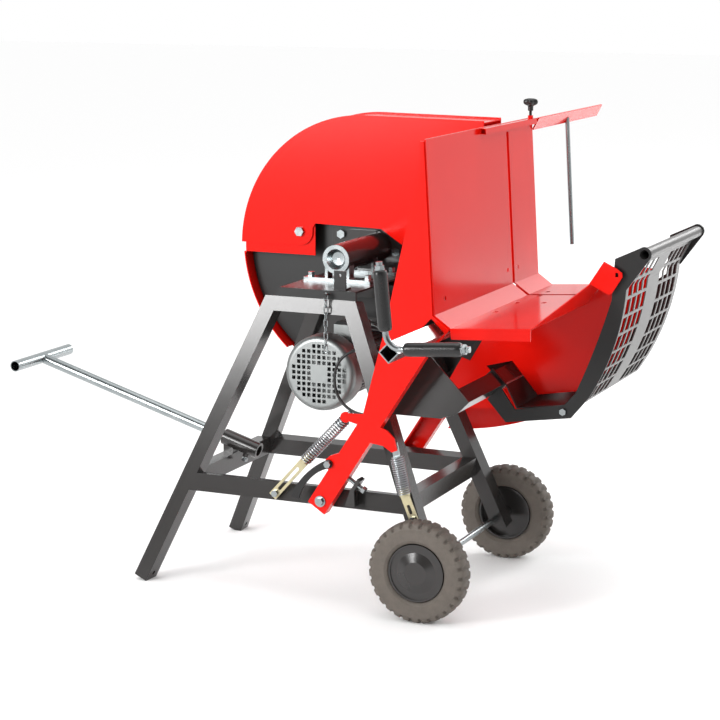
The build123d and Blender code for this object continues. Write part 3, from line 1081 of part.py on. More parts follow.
# The sickle latch on the post's ear
latch_y = CRADLE_Y - 7
latch_edges = [ThreePointArc((ear_spot[0] - 3, ear_spot[1] + 11), (126, 352), (84, 290)),
               Line((84, 290), (108, 284)),
               ThreePointArc((108, 284), (138, 340), (ear_spot[0] + 6, ear_spot[1] - 10)),
               ThreePointArc((ear_spot[0] + 6, ear_spot[1] - 10), (ear_spot[0] + 11, ear_spot[1] + 3),
                             (ear_spot[0] - 3, ear_spot[1] + 11))]
latch_hole = rod_y(ear_spot[0], ear_spot[1], latch_y - 1, latch_y + 6, 5 + RUN)
keep("latch", plate(latch_edges, latch_y, latch_y + 5) - latch_hole)
latch_pin = rod_y(ear_spot[0], ear_spot[1], latch_y - 1, CRADLE_Y + SIDE_T + 2, 5)
latch_pin += hexagon_y(ear_spot[0], ear_spot[1], latch_y - 8, latch_y - 1, 17)
keep("cradle_fasteners", latch_pin, *nuts)

# The length stop: a square guide on the panel's top, a sliding bar with a strip, a rod and a clamp knob
guide_low, guide_top = STOP_GUIDE_Z, STOP_GUIDE_Z + STOP_GUIDE_W
GUIDE_WALL = 2.0


def guide_view(inset):
    """The guide's section, which follows the panel's lean, drawn in by an inset."""
    z0, z1 = guide_low + inset, guide_top - inset
    return [(panel_x(z0) + inset, z0), (panel_x(z0) + STOP_GUIDE_W - inset, z0),
            (panel_x(z1) + STOP_GUIDE_W - inset, z1), (panel_x(z1) + inset, z1)]


knob_x = panel_x(guide_top) + STOP_GUIDE_W / 2
boss_top = guide_top + 9
stud_low = guide_top - GUIDE_WALL
guide = plate(guide_view(0), STOP_GUIDE_Y[0], STOP_GUIDE_Y[1])
guide += bar((knob_x, KNOB_Y, guide_top - 1), (knob_x, KNOB_Y, boss_top), STOP_GUIDE_W / 2 - 0.5)
guide -= plate(guide_view(GUIDE_WALL), STOP_GUIDE_Y[0] - 1, STOP_GUIDE_Y[1] + 1)
guide -= bar((knob_x, KNOB_Y, stud_low - 1), (knob_x, KNOB_Y, boss_top + 1), 5 + RUN)
keep("stop_guide", guide)

strip_y = STOP_GUIDE_Y[1] + 6
strip_top = (knob_x + 9, guide_top + 1)
strip_low = (strip_top[0] - 17, strip_top[1] - 34)
strip_view = [strip_low, strip_top, (strip_top[0] + STOP_STRIP_T, strip_top[1] - 2),
              (strip_low[0] + STOP_STRIP_T, strip_low[1] - 2)]
slide_bar = plate(guide_view(GUIDE_WALL + SLIDE), STOP_GUIDE_Y[0] + 14, strip_y + 60)
rod_top = (strip_low[0] + 9, strip_low[1] + 14)
rod_foot = (rod_top[0] - lean_panel * STOP_ROD_L, rod_top[1] - STOP_ROD_L)
stop_rod = bar((rod_top[0], STOP_ROD_Y, rod_top[1]), (rod_foot[0], STOP_ROD_Y, rod_foot[1]), STOP_ROD_R)
keep("stop_bar", plate(strip_view, strip_y, STOP_STRIP_END_Y) + slide_bar - stop_rod)
keep("stop_rod", stop_rod)

star = [polar(0, 0, KNOB_R if i % 2 == 0 else KNOB_R - 6, i * 30) for i in range(12)]
knob = Pos(knob_x, KNOB_Y, guide_top + 35) * extrude(make_face(Polyline(*star, close=True)), amount=21)
knob += bar((knob_x, KNOB_Y, guide_top + 20), (knob_x, KNOB_Y, guide_top + 36), 9)
knob += bar((knob_x, KNOB_Y, stud_low), (knob_x, KNOB_Y, guide_top + 22), 5)
keep("stop_knob", knob)

# The grid guard: two black arms, a top tube, a floor sheet and the curved slotted sheet
boss = (934.0, 938.0)
grid_low, grid_mid, grid_high = (770.0, 530.0), (852.0, 694.0), (884.0, 846.0)
grid_arc = ThreePointArc(grid_low, grid_mid, grid_high)
grid_x, grid_z = grid_arc.arc_center.X, grid_arc.arc_center.Y
sheet_path = Wire([grid_arc, Line(grid_high, (boss[0] - 12, boss[1] - 18))])
sheet_face = make_face(offset(sheet_path, GRID_T / 2, side=Side.BOTH).wire())
grid = Pos(0, ARM_Y + ARM_T, 0) * extrude(Plane.XZ * sheet_face, amount=ARM_FAR_Y - ARM_Y, dir=(0, 1, 0))
grid -= box(grid_mid[0], boss[0], ARM_FAR_Y, ARM_FAR_Y + ARM_T + 1, grid_high[1] + 2, boss[1])

arm_root = (BEAM_X + 22, BEAM_Z - 6)
arm_heel = (BEAM_X - 14, BEAM_Z - 44)
arm_top, arm_tip, arm_neck = (922, 954), (950, 928), (888, 843)
arm_head = ThreePointArc(arm_tip, (946, 953), arm_top)
near_edges = [Polyline(arm_root, arm_heel, (562, 464), (744, 491), (792, 549)),
              ThreePointArc((792, 549), (858, 690), arm_neck), Line(arm_neck, arm_tip), arm_head,
              Polyline(arm_top, (856, 923), (849, 814)), ThreePointArc((849, 814), (816, 711), (756, 560)),
              Polyline((756, 560), (727, 527), (587, 501), arm_root)]


def on_seat(point):
    """The spot on the grid's inner face that a point of its middle line faces."""
    turn = degrees(atan2(point[1] - grid_z, point[0] - grid_x))
    return polar(grid_x, grid_z, grid_arc.radius - GRID_T / 2, turn)


far_edges = [Polyline(arm_root, arm_heel, (575, 490), (744, 518), on_seat(grid_low)),
             ThreePointArc(on_seat(grid_low), on_seat(grid_mid), on_seat(grid_high)),
             Polyline(on_seat(grid_high), arm_neck, arm_tip), arm_head,
             Polyline(arm_top, (856, 923), (849, 814), (790, 772), (690, 735), (655, 560), arm_root)]


def arm_plate(edges, y0):
    """A guard arm with its square pad on the beam."""
    pad = plate(diamond(BEAM_X, BEAM_Z, half_beam + 8), y0, y0 + ARM_T)
    return plate(edges, y0, y0 + ARM_T) + pad


TUBE_R = 15.0
RAIL_WALL = 3.0
FLOOR_T = 3.0
tube_bore = rod_y(boss[0], boss[1], ARM_Y - 1, ARM_FAR_Y + 1, TUBE_R - RAIL_WALL)
beam_end = plate(diamond(BEAM_X, BEAM_Z, half_beam), ARM_Y - 1, ARM_Y + ARM_T + 1)
near_arm = arm_plate(near_edges, ARM_Y) - beam_end - tube_bore - arm_bolt
far_arm = arm_plate(far_edges, ARM_FAR_Y) - grid
floor_start = (BEAM_X + half_beam + 6, BEAM_Z - 3)
floor_path = Polyline(floor_start, (591, 504), (727, 525), (763, 531))
floor_face = make_face(offset(floor_path, FLOOR_T / 2, side=Side.BOTH).wire())
floor_sheet = extrude(Plane.XZ * floor_face, amount=ARM_FAR_Y - ARM_Y - ARM_T, dir=(0, 1, 0))
keep("guard_arms", near_arm, far_arm, Pos(0, ARM_Y + ARM_T, 0) * floor_sheet)
keep("guard_tube", rod_y(boss[0], boss[1], ARM_Y + ARM_T, ARM_FAR_Y, TUBE_R) - tube_bore)

# The curved sheet follows the arms' outer edge; its slots stand in two columns of groups of four
GRID_ROWS = 8
SLOT_LONG, SLOT_WIDE, SLOT_STEP = 43.0, 35.0, 46.0
PLAIN_BAND = 100.0
mid_y = (ARM_Y + ARM_T + ARM_FAR_Y) / 2
cutters = []
for row in range(GRID_ROWS):
    at = (row + 0.62) / (GRID_ROWS + 0.35)
    p, d = sheet_path.position_at(at), sheet_path.tangent_at(at)
    for column in (-1, 1):
        for k in range(4):
            y = mid_y + column * (PLAIN_BAND / 2 + (k + 0.5) * SLOT_STEP)
            seat = Plane((p.X, y, p.Y), x_dir=(0, 1, 0), z_dir=(d.Y, 0, -d.X))
            cutters.append(seat * Box(SLOT_WIDE, SLOT_LONG, 14))
keep("guard_grid", grid - cutters)

# Put the origin at the bottom centre of the whole machine and write one file for each piece
everything = Compound(children=[Compound(solids) for solids in nodes.values()])
low, high = everything.bounding_box().min, everything.bounding_box().max
to_origin = Pos(-(low.X + high.X) / 2, -(low.Y + high.Y) / 2, -low.Z)
print("size", [round(v, 1) for v in tuple(high - low)], "moved by",
      [round(v, 3) for v in tuple(to_origin.position)])
os.makedirs("parts", exist_ok=True)
for name, solids in nodes.items():
    moved = [to_origin * s for s in solids]
    export_step(moved[0] if len(moved) == 1 else Compound(children=moved),
                os.path.join("parts", name + ".step"))
print(len(nodes), "pieces written")
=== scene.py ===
# %% [markdown]
# A tilting firewood saw, dressed for the camera.
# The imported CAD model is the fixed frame: every sheet, tube, bolt and pulley is already there in its true
# place. This lesson gives each of them a finish, and adds the few pieces that are soft, wound or finely
# patterned.

# %% Load the frame
import json
from math import radians

import bpy
import numpy as np
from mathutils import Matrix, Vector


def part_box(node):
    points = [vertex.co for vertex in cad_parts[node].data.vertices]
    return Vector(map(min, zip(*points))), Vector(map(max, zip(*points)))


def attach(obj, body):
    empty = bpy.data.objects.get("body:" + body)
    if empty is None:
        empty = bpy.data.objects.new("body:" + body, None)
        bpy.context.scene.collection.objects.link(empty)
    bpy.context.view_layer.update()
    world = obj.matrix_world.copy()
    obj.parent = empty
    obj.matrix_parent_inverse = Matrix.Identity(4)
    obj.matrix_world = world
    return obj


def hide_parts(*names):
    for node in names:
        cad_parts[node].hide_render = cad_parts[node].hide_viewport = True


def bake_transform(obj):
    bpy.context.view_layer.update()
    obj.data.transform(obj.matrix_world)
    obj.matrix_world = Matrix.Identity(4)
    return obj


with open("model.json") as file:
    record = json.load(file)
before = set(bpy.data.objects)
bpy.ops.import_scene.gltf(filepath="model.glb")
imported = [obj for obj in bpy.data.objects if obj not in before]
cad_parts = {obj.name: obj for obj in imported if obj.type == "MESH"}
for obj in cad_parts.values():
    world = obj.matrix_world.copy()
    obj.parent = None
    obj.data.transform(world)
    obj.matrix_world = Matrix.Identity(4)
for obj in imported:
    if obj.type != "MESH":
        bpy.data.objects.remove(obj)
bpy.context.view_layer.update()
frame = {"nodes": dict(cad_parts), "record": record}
record = frame["record"]
joints = {joint["name"]: joint for joint in record["behaviour"]["joints"]}

# %% [markdown]
# The camera stands where the photographer stood: about six metres away, a little to the right of the handle
# side and above the machine. A long lens keeps the perspective mild, so the two wheels differ only a little
# in size.

# %% Camera
CAMERA_PLACE = (2.4326, -5.4212, 1.6995)
CAMERA_AZIMUTH = 24.07
CAMERA_ELEVATION = 10.894
CAMERA_LENS_MM = 105.8
SENSOR_WIDTH_MM = 36.0
FAR_CLIP = 100.0

camera_data = bpy.data.cameras.new("photo_camera")
camera_data.lens = CAMERA_LENS_MM
camera_data.sensor_width = SENSOR_WIDTH_MM
camera_data.clip_end = FAR_CLIP
camera = bpy.data.objects.new("photo_camera", camera_data)
camera.location = CAMERA_PLACE
camera.rotation_euler = (radians(90 - CAMERA_ELEVATION), 0.0, radians(CAMERA_AZIMUTH))
bpy.context.collection.objects.link(camera)
bpy.context.scene.camera = camera
bpy.context.scene.view_settings.view_transform = "Standard"
print("camera at", CAMERA_PLACE)

# %% [markdown]
# A shader is a small net of nodes. One helper adds a node, sets its values and joins its inputs. The others
# build on it, each for one part that the finishes below share: a noise, a blend of two shades, a value that
# moves about its middle, a relief and the closing shader.
# Colours are written as they look on a screen, in sRGB hex, and one function turns them into the linear
# values that shaders need.

# %% Colour and node helpers
MM_PER_METRE = 1000.0


def linear(code):
    """Turns an sRGB hex colour into linear RGBA. A channel up to 0.04045 is divided by 12.92; a higher one
    plus 0.055, over 1.055, is raised to the power 2.4."""
    channels = np.array([int(code[i:i + 2], 16) for i in (1, 3, 5)]) / 255
    low = channels / 12.92
    high = ((channels + 0.055) / 1.055) ** 2.4
    return (*np.where(channels <= 0.04045, low, high).tolist(), 1.0)


def add(tree, kind, inputs=None, **settings):
    """Adds one node, sets its own settings, then fills its inputs: a plain value is set, a socket is
    linked."""
    node = tree.nodes.new(kind)
    for key, value in settings.items():
        setattr(node, key, value)
    for key, value in (inputs or {}).items():
        if isinstance(value, bpy.types.NodeSocket):
            tree.links.new(value, node.inputs[key])
        else:
            node.inputs[key].default_value = value
    return node


def new_finish(name):
    """A fresh material with an emptied tree, and the Object coordinates that its textures use."""
    material = bpy.data.materials.new(name)
    material.use_nodes = True
    tree = material.node_tree
    tree.nodes.clear()
    place = add(tree, "ShaderNodeTexCoord").outputs["Object"]
    return material, tree, place


def noise(tree, place, cell_mm, **look):
    """The height of a noise: its scale is the cells per metre, for cells of the given millimetres."""
    inputs = {"Vector": place, "Scale": MM_PER_METRE / cell_mm, **look}
    return add(tree, "ShaderNodeTexNoise", inputs).outputs["Fac"]


def two_tone(tree, height, dark, light):
    """The colour between dark at height 0 and light at height 1."""
    inputs = {"Factor": height, "A": linear(dark), "B": linear(light)}
    return add(tree, "ShaderNodeMix", inputs, data_type="RGBA").outputs["Result"]


def about(tree, height, middle, reach):
    """A value that goes from the middle less the reach, at height 0, to the middle plus the reach, at 1."""
    inputs = {"Value": height, "To Min": middle - reach, "To Max": middle + reach}
    return add(tree, "ShaderNodeMapRange", inputs).outputs["Result"]


def relief(tree, height, strength, depth):
    """Normals tilted by a height: the depth is its full measure in metres, the strength its share."""
    inputs = {"Height": height, "Strength": strength, "Distance": depth}
    return add(tree, "ShaderNodeBump", inputs).outputs["Normal"]


def close_tree(tree, inputs):
    """Ends a tree with one Principled shader, joined to the material's output."""
    shader = add(tree, "ShaderNodeBsdfPrincipled", inputs)
    add(tree, "ShaderNodeOutputMaterial", {"Surface": shader.outputs["BSDF"]})


print("linear mid grey", round(linear("#808080")[0], 3))

# %% [markdown]
# Powder coat is a baked plastic paint on blasted steel. It is a dielectric with a soft gloss, and a faint
# orange peel that a real coat has at one to two millimetres. A flat colour would do from far away, but looks
# like plastic foil on the large sheets. So the peel is drawn here, at six millimetres, at which it still
# shows at this distance, together with a slow drift in shade.
# Seen at a slant the coat mirrors the white studio, which is why the faces turned to the right look pale.

# %% Powder coat finishes
ORANGE_PEEL_MM = 6.0
PEEL_DEPTH = 0.0004
PEEL_GLOSS = 0.04
SHADE_DRIFT_MM = 240.0
PLASTIC_IOR = 1.5


def powder_coat(name, light, dark, roughness, peel, shine):
    """Powder coat: a slow noise drifts the shade, and a fine one gives the orange peel and moves the
    roughness a little."""
    material, tree, place = new_finish(name)
    drift = noise(tree, place, SHADE_DRIFT_MM, Detail=3.0)
    shade = two_tone(tree, drift, dark, light)
    orange_peel = noise(tree, place, ORANGE_PEEL_MM, Detail=2.0)
    close_tree(tree, {"Base Color": shade,
                      "Roughness": about(tree, orange_peel, roughness, PEEL_GLOSS),
                      "Normal": relief(tree, orange_peel, peel, PEEL_DEPTH),
                      "IOR": PLASTIC_IOR,
                      "Specular IOR Level": shine})
    return material


finish = {}
finish["red_paint"] = powder_coat("red_powder_coat", "#dd140a", "#cf0f06",
                                  roughness=0.16, peel=0.1, shine=0.2)
finish["anthracite_paint"] = powder_coat("anthracite_powder_coat", "#2c2a29", "#242221",
                                         roughness=0.2, peel=0.1, shine=0.6)
finish["black_paint"] = powder_coat("black_powder_coat", "#1d1d1d", "#151515",
                                    roughness=0.36, peel=0.2, shine=0.4)
finish["grey_paint"] = powder_coat("grey_powder_coat", "#545352", "#484746",
                                   roughness=0.34, peel=0.2, shine=0.4)
print("powder coats:", len(finish))

# %% [markdown]
# Bright zinc plating keeps the metal's shine but mottles it with a bluish, slightly cloudy film. A cloud
# noise moves the tint and the roughness together, because a cloudier spot is both lighter and duller. A
# finer noise stands for the grain of the drawn steel below. The same function makes the bare metals, with
# other shades and their own roughness.

# %% Zinc, wire and machined steel
CLOUD_MM = 35.0
CLOUD_DISTORTION = 0.6
GRAIN_MM = 3.0
GRAIN_STRENGTH = 0.12
GRAIN_DEPTH = 0.0002


def plated(name, light, dark, roughness, reach):
    """Plated metal: one cloud noise moves tint and roughness, a finer one adds the grain of the steel
    below."""
    material, tree, place = new_finish(name)
    cloud = noise(tree, place, CLOUD_MM, Detail=4.0, Distortion=CLOUD_DISTORTION)
    grain = noise(tree, place, GRAIN_MM, Detail=2.0)
    close_tree(tree, {"Base Color": two_tone(tree, cloud, dark, light),
                      "Roughness": about(tree, cloud, roughness, reach),
                      "Normal": relief(tree, grain, GRAIN_STRENGTH, GRAIN_DEPTH),
                      "Metallic": 1.0})
    return material


finish["zinc"] = plated("zinc_plate", "#aeb4b5", "#8c9395", roughness=0.26, reach=0.08)
finish["yellow_zinc"] = plated("yellow_zinc_plate", "#d6cba2", "#b5ad94", roughness=0.32, reach=0.08)
finish["spring_steel"] = plated("zinc_spring_wire", "#d2d4d6", "#a9acb0", roughness=0.24, reach=0.06)
finish["bright_steel"] = plated("ground_steel", "#b9babb", "#97989a", roughness=0.32, reach=0.07)
finish["cast_iron"] = plated("turned_cast_iron", "#6b6b6d", "#55565a", roughness=0.48, reach=0.08)
finish["motor_alloy"] = plated("cast_aluminium", "#9da09f", "#888b8b", roughness=0.46, reach=0.06)
print("finishes with the metals:", len(finish))

# %% [markdown]
# Rubber, foam and moulded plastic scatter light from a dark surface. The tyres are a dusty brownish grey,
# the foam grips have fine cells and a slight sheen, and the knob is a plain moulded black. One noise at the
# size of the cells is enough for all of them: it sets the relief, and its low parts, the hollows of the
# cells, get the darker colour as painted shade.

# %% Rubber and plastic finishes
CELL_ROUGHNESS = 0.65
CELL_DEPTH = 0.001


def moulded(name, light, dark, roughness, cell_mm, strength):
    """A moulded surface: one noise at the cell size drives the relief and paints its low parts darker, as
    shade in the hollows.
    """
    material, tree, place = new_finish(name)
    cells = noise(tree, place, cell_mm, Detail=5.0, Roughness=CELL_ROUGHNESS)
    # Low cells take the dark colour: painted shade in the hollows.
    close_tree(tree, {"Base Color": two_tone(tree, cells, dark, light),
                      "Normal": relief(tree, cells, strength, CELL_DEPTH),
                      "Roughness": roughness,
                      "IOR": PLASTIC_IOR})
    return material


finish["black_rubber"] = moulded("black_rubber", "#242424", "#161616",
                                 roughness=0.5, cell_mm=8.0, strength=0.15)
finish["foam_rubber"] = moulded("foam_grip", "#242424", "#181818",
                                roughness=0.26, cell_mm=5.0, strength=0.12)
finish["tyre_rubber"] = moulded("solid_tyre_rubber", "#6c645c", "#4e4842",
                                roughness=0.7, cell_mm=22.0, strength=0.5)
finish["black_plastic"] = moulded("moulded_plastic", "#1a1a1a", "#121212",
                                  roughness=0.38, cell_mm=6.0, strength=0.12)
print("finishes:", sorted(finish))

# %% [markdown]
# The record says which finish belongs to which node. CAD meshes are never edited, so only their material
# slots change.

# %% Dress the CAD nodes
node_slot = {part["node"]: part["material_slot"] for part in record["subparts"]}
for name, node in frame["nodes"].items():
    node.data.materials.clear()
    node.data.materials.append(finish[node_slot[name]])
print("dressed", len(node_slot), "nodes")

# %% [markdown]
# New pieces are surfaces on a grid of two parameters. They could be put together with modifiers, but an
# array of points keeps each shape one formula that can be read. The first helper takes the whole array,
# closes it to a tube or a ring and puts it into a mesh. The open ends of a tube are capped, and the faces
# are turned outwards by the sign of the enclosed volume.
# Turned and moulded pieces come from the second: a radius for every step along an axis, swept round it.
# Lobes can swell and shrink the circle, which is all a star knob needs.
# The third moves places from the CAD model's working millimetres into the shared frame.

# %% Shape helpers
WORKING_SHIFT_MM = np.array([-30.928, -232.25, 0.0])
ROUND_STEPS = 72
NEARLY_ALONG = 0.9


def grid_piece(name, points, slot, closed_u=True):
    """Makes a mesh from points[u, v]: neighbours share a quad, v wraps round, u wraps round too where it is
    closed, and open u ends get a cap. The volume is the sum over the triangles of the triple product of
    their corners, over six; if it is negative the faces are reversed."""
    count_u, count_v = points.shape[:2]
    u = np.arange(count_u if closed_u else count_u - 1)[:, None]
    v = np.arange(count_v)[None, :]
    next_u, next_v = (u + 1) % count_u, (v + 1) % count_v
    quads = np.stack([u * count_v + v, next_u * count_v + v,
                      next_u * count_v + next_v, u * count_v + next_v], axis=-1).reshape(-1, 4)
    flat = points.reshape(-1, 3)
    a, b, c, d = (flat[quads[:, i]] for i in range(4))
    triples = np.einsum("ij,ij->i", a, np.cross(b, c)) + np.einsum("ij,ij->i", a, np.cross(c, d))
    volume = triples.sum() / 6
    faces = quads.tolist()
    if not closed_u:
        first_cap = list(range(count_v - 1, -1, -1))
        last_cap = list(range((count_u - 1) * count_v, count_u * count_v))
        faces += [first_cap, last_cap]
    if volume < 0:
        faces = [face[::-1] for face in faces]
    mesh = bpy.data.meshes.new(name)
    mesh.from_pydata(flat.tolist(), [], faces)
    mesh.shade_smooth()
    mesh.materials.append(finish[slot])
    piece = bpy.data.objects.new(name, mesh)
    bpy.context.collection.objects.link(piece)
    print(name, len(flat), "points")
    return piece


def swept_round(start, end, along, radii, lobes=0, swell=0.0):
    """Points round the axis from start to end: at each step along it a circle of the given radius, times one
    plus the swell times the cosine of the lobes' angle."""
    start, end = np.array(start), np.array(end)
    axis = (end - start) / np.linalg.norm(end - start)
    helper = [0.0, 1.0, 0.0] if abs(axis[1]) < NEARLY_ALONG else [1.0, 0.0, 0.0]
    side = np.cross(axis, helper)
    side /= np.linalg.norm(side)
    other = np.cross(axis, side)
    turn = np.linspace(0, 2 * np.pi, ROUND_STEPS, endpoint=False)[None, :, None]
    size = np.array(radii)[:, None, None] * (1 + np.array(swell).reshape(-1, 1, 1) * np.cos(lobes * turn))
    centre = start + axis * np.array(along)[:, None, None]
    return centre + size * (np.cos(turn) * side + np.sin(turn) * other)


def to_row(points_mm):
    """Working millimetres to metres in the shared frame: the shift is added, the sum divided by 1000."""
    return (np.array(points_mm) + WORKING_SHIFT_MM) / MM_PER_METRE


print("working origin at", to_row((0, 0, 0)).tolist())

# %% [markdown]
# The wheels are solid rubber. The side wall is smooth with two fine rings, and short notches cut the edge of
# the tread between the lugs, left and right staggered like a tractor tyre's. Lugs could be blocks set on a
# plain ring, but a moulded tyre has no seams, so here one closed surface is lowered between the lugs. Its
# section is a rounded box, and the pattern lowers it only near the tread.

# %% Lugged tyres
RIM_RADIUS = 0.076
AROUND_STEPS = 600
SECTION_STEPS = 120
SECTION_POWER = 4
LUGS = 30
NOTCH_DEPTH = 0.0045
NOTCH_LEVEL = 0.55
NOTCH_SHARPNESS = 5
TREAD_FROM = 0.5
TREAD_FADE = 0.25
CENTRE_RIB = 0.004
CENTRE_FADE = 0.003
CENTRE_CUT = 0.4
WALL_FROM = 0.5
WALL_FADE = 0.2
RING_HEIGHT = 0.0008
RING_LEVELS = (0.42, -0.62)
RING_WIDTHS = (0.05, 0.06)


def ramp(value, start, length):
    """0 up to the start, then rising evenly to 1 over the length."""
    return np.clip((value - start) / length, 0, 1)


def rounded(wave):
    """A superellipse's sine or cosine: the circle's one, its size raised to two over the section's power and
    its sign kept."""
    return np.sign(wave) * np.abs(wave) ** (2 / SECTION_POWER)


def lugged_tyre(name, node, hub_joint):
    """Tyre surface: around the wheel by u, round its section by v. The section is a superellipse of power 4.
    Where a sine of the wheel angle, staggered by side, falls below a limit, the outer quarter of the section
    loses the notch depth, less of it at the centre rib. A ring is a bell curve of the height on the wall."""
    low, high = (np.array(corner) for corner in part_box(node))
    centre = np.array(joints[hub_joint]["pos_m"])
    outer, half_wide = (high[2] - low[2]) / 2, (high[1] - low[1]) / 2
    middle, half_tall = (outer + RIM_RADIUS) / 2, (outer - RIM_RADIUS) / 2
    u = np.linspace(0, 2 * np.pi, AROUND_STEPS, endpoint=False)[:, None]
    v = np.linspace(0, 2 * np.pi, SECTION_STEPS, endpoint=False)[None, :]
    across = half_wide * rounded(np.cos(v))
    up = half_tall * rounded(np.sin(v))
    level = up / half_tall
    stagger = np.tanh(across / CENTRE_RIB) * np.pi / 2
    wave = np.sin(LUGS * u + stagger)
    notch = 0.5 - 0.5 * np.tanh((wave + NOTCH_LEVEL) * NOTCH_SHARPNESS)
    off_centre = ramp(np.abs(across), CENTRE_RIB, CENTRE_FADE)
    share = CENTRE_CUT + (1 - CENTRE_CUT) * off_centre
    cut = NOTCH_DEPTH * notch * ramp(level, TREAD_FROM, TREAD_FADE) * share
    bells = [np.exp(-((level - at) / wide) ** 2) for at, wide in zip(RING_LEVELS, RING_WIDTHS)]
    rings = RING_HEIGHT * sum(bells)
    wall = np.sign(across) * ramp(np.abs(np.cos(v)), WALL_FROM, WALL_FADE)
    y = centre[1] + across - wall * (cut + RING_HEIGHT - rings)
    radius = middle + up - cut
    points = np.stack([centre[0] + radius * np.cos(u), y, centre[2] + radius * np.sin(u)], axis=-1)
    return grid_piece(name, points, "tyre_rubber")


for side in ("near", "far"):
    rubber = lugged_tyre("lugged_tyre_" + side, "tyre_" + side, "wheel_" + side + "_spin")
    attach(rubber, "wheel_" + side)
    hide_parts("tyre_" + side)

# %% [markdown]
# The balance springs are wound wire. When the trough swings, one end moves with it and the other stays on
# the frame. A curve with a bevel could draw the wire too, but here each spring is a mesh, baked where it
# rests and tied to neither body. The centre line is a helix, and a small circle is carried along it.

# %% Balance springs
LEFT_SPRING = {"top": (0.197072, -0.51275, 0.503), "foot": (0.081072, -0.51275, 0.381),
               "radius": 0.0141, "wire": 0.0019, "turns": 21}
RIGHT_SPRING = {"top": (0.345072, -0.51275, 0.417), "foot": (0.367072, -0.51275, 0.318),
                "radius": 0.01615, "wire": 0.00185, "turns": 17}
STEPS_PER_TURN = 36
WIRE_SIDES = 10


def coil_spring(name, top, foot, radius, wire, turns):
    """Helix of a radius about the line from top to foot. At each step the wire's circle is drawn with two
    directions: outward from that line, and across, which is square to the outward one and to the wire."""
    top, foot = np.array(top), np.array(foot)
    length = np.linalg.norm(foot - top)
    axis = (foot - top) / length
    side = np.array([0.0, 1.0, 0.0])
    other = np.cross(axis, side)
    t = np.linspace(0, turns, turns * STEPS_PER_TURN + 1)[:, None, None]
    angle = 2 * np.pi * t
    rise = (length - 2 * wire) / turns
    outward = np.cos(angle) * side + np.sin(angle) * other
    around = np.cos(angle) * other - np.sin(angle) * side
    heading = axis * rise + around * 2 * np.pi * radius
    heading /= np.linalg.norm(heading, axis=-1, keepdims=True)
    across = np.cross(heading, outward)
    turn = np.linspace(0, 2 * np.pi, WIRE_SIDES, endpoint=False)[None, :, None]
    centre = top + axis * (wire + rise * t) + outward * radius
    points = centre + wire * (np.cos(turn) * outward + np.sin(turn) * across)
    return grid_piece(name, points, "spring_steel", closed_u=False)


for name, spring in (("spring_left", LEFT_SPRING), ("spring_right", RIGHT_SPRING)):
    wound = coil_spring(name + "_wire", **spring)
    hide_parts(name)
    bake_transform(wound)

# %% [markdown]
# The two foam grips sit on the legs of the bent handle rod. A plain cylinder would have sharp rims, so each
# grip is swept with a radius that falls off at both ends, and its steps crowd there to draw the round.

# %% Foam grips
HANDLE_CORNER = (482, -593, 762)
HANDLE_TIPS = {"tall_grip": (460, -593, 974), "flat_grip": (695, -593, 778)}
BARE_TIP_MM = 20.0
GRIP_LENGTH_MM = 148.0
GRIP_RADIUS_MM = 17.5
GRIP_STEPS = 61
END_SHARPNESS = 24
END_LOSS = 0.55

handle_corner = to_row(HANDLE_CORNER)
step = np.sin(np.linspace(-np.pi / 2, np.pi / 2, GRIP_STEPS))
grip_along = (BARE_TIP_MM + GRIP_LENGTH_MM * (0.5 + 0.5 * step)) / MM_PER_METRE
grip_radii = GRIP_RADIUS_MM / MM_PER_METRE * np.sqrt(1 - np.abs(step) ** END_SHARPNESS * END_LOSS)
for name, tip in HANDLE_TIPS.items():
    grip_points = swept_round(to_row(tip), handle_corner, grip_along, grip_radii)
    grip = grid_piece(name, grip_points, "foam_rubber", closed_u=False)
    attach(grip, "cradle")
    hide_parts("handle_grips")

# %% [markdown]
# The clamp knob of the length stop is a moulded star with a short collar and a screw below. Head, collar and
# screw could be separate pieces, but here they are one surface without seams. Its outline is a list of
# depths and radii from the top down, and five lobes swell the head and fade out above the collar.

# %% Star knob
KNOB_DOWN_MM = [0.0, 0.6, 2.0, 4.5, 9.0, 13.5, 16.5, 18.5, 20.0, 21.0, 24.0, 33.0, 34.0, 34.5]
KNOB_RADIUS_MM = [9.0, 13.0, 16.5, 18.6, 19.4, 18.4, 16.0, 12.5, 9.5, 8.3, 7.6, 7.4, 7.0, 4.0]
KNOB_STEPS = 121
SCREW_RADIUS = 0.004
KNOB_LOBES = 5
LOBE_SWELL = 0.1
LOBE_END = 0.021
LOBE_FADE = 0.006

knob_low, knob_high = (np.array(end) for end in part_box("stop_knob"))
knob_middle = (knob_low + knob_high) / 2
knob_tall = knob_high[2] - knob_low[2]
listed = np.arange(len(KNOB_DOWN_MM))
fine = np.linspace(0, 1, KNOB_STEPS) * listed[-1]
knob_down = np.append(np.interp(fine, listed, KNOB_DOWN_MM) / MM_PER_METRE, knob_tall)
knob_radii = np.append(np.interp(fine, listed, KNOB_RADIUS_MM) / MM_PER_METRE, SCREW_RADIUS)
lobe_swell = LOBE_SWELL * np.clip((LOBE_END - knob_down) / LOBE_FADE, 0, 1)
knob_top = (knob_middle[0], knob_middle[1], knob_high[2])
knob_foot = (knob_middle[0], knob_middle[1], knob_low[2])
knob_points = swept_round(knob_top, knob_foot, knob_down, knob_radii, lobes=KNOB_LOBES, swell=lobe_swell)
star_knob = grid_piece("star_knob", knob_points, "black_plastic", closed_u=False)
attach(star_knob, "knob")
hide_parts("stop_knob")

# %% [markdown]
# The motor's cable leaves its terminal box, goes round behind the near right leg, hangs in a loop before the
# fan cowl and goes into that leg. A cable is one smooth curve, so its route points are the control points of
# a NURBS spline with a round bevel. A chain of straight tubes would show its corners.

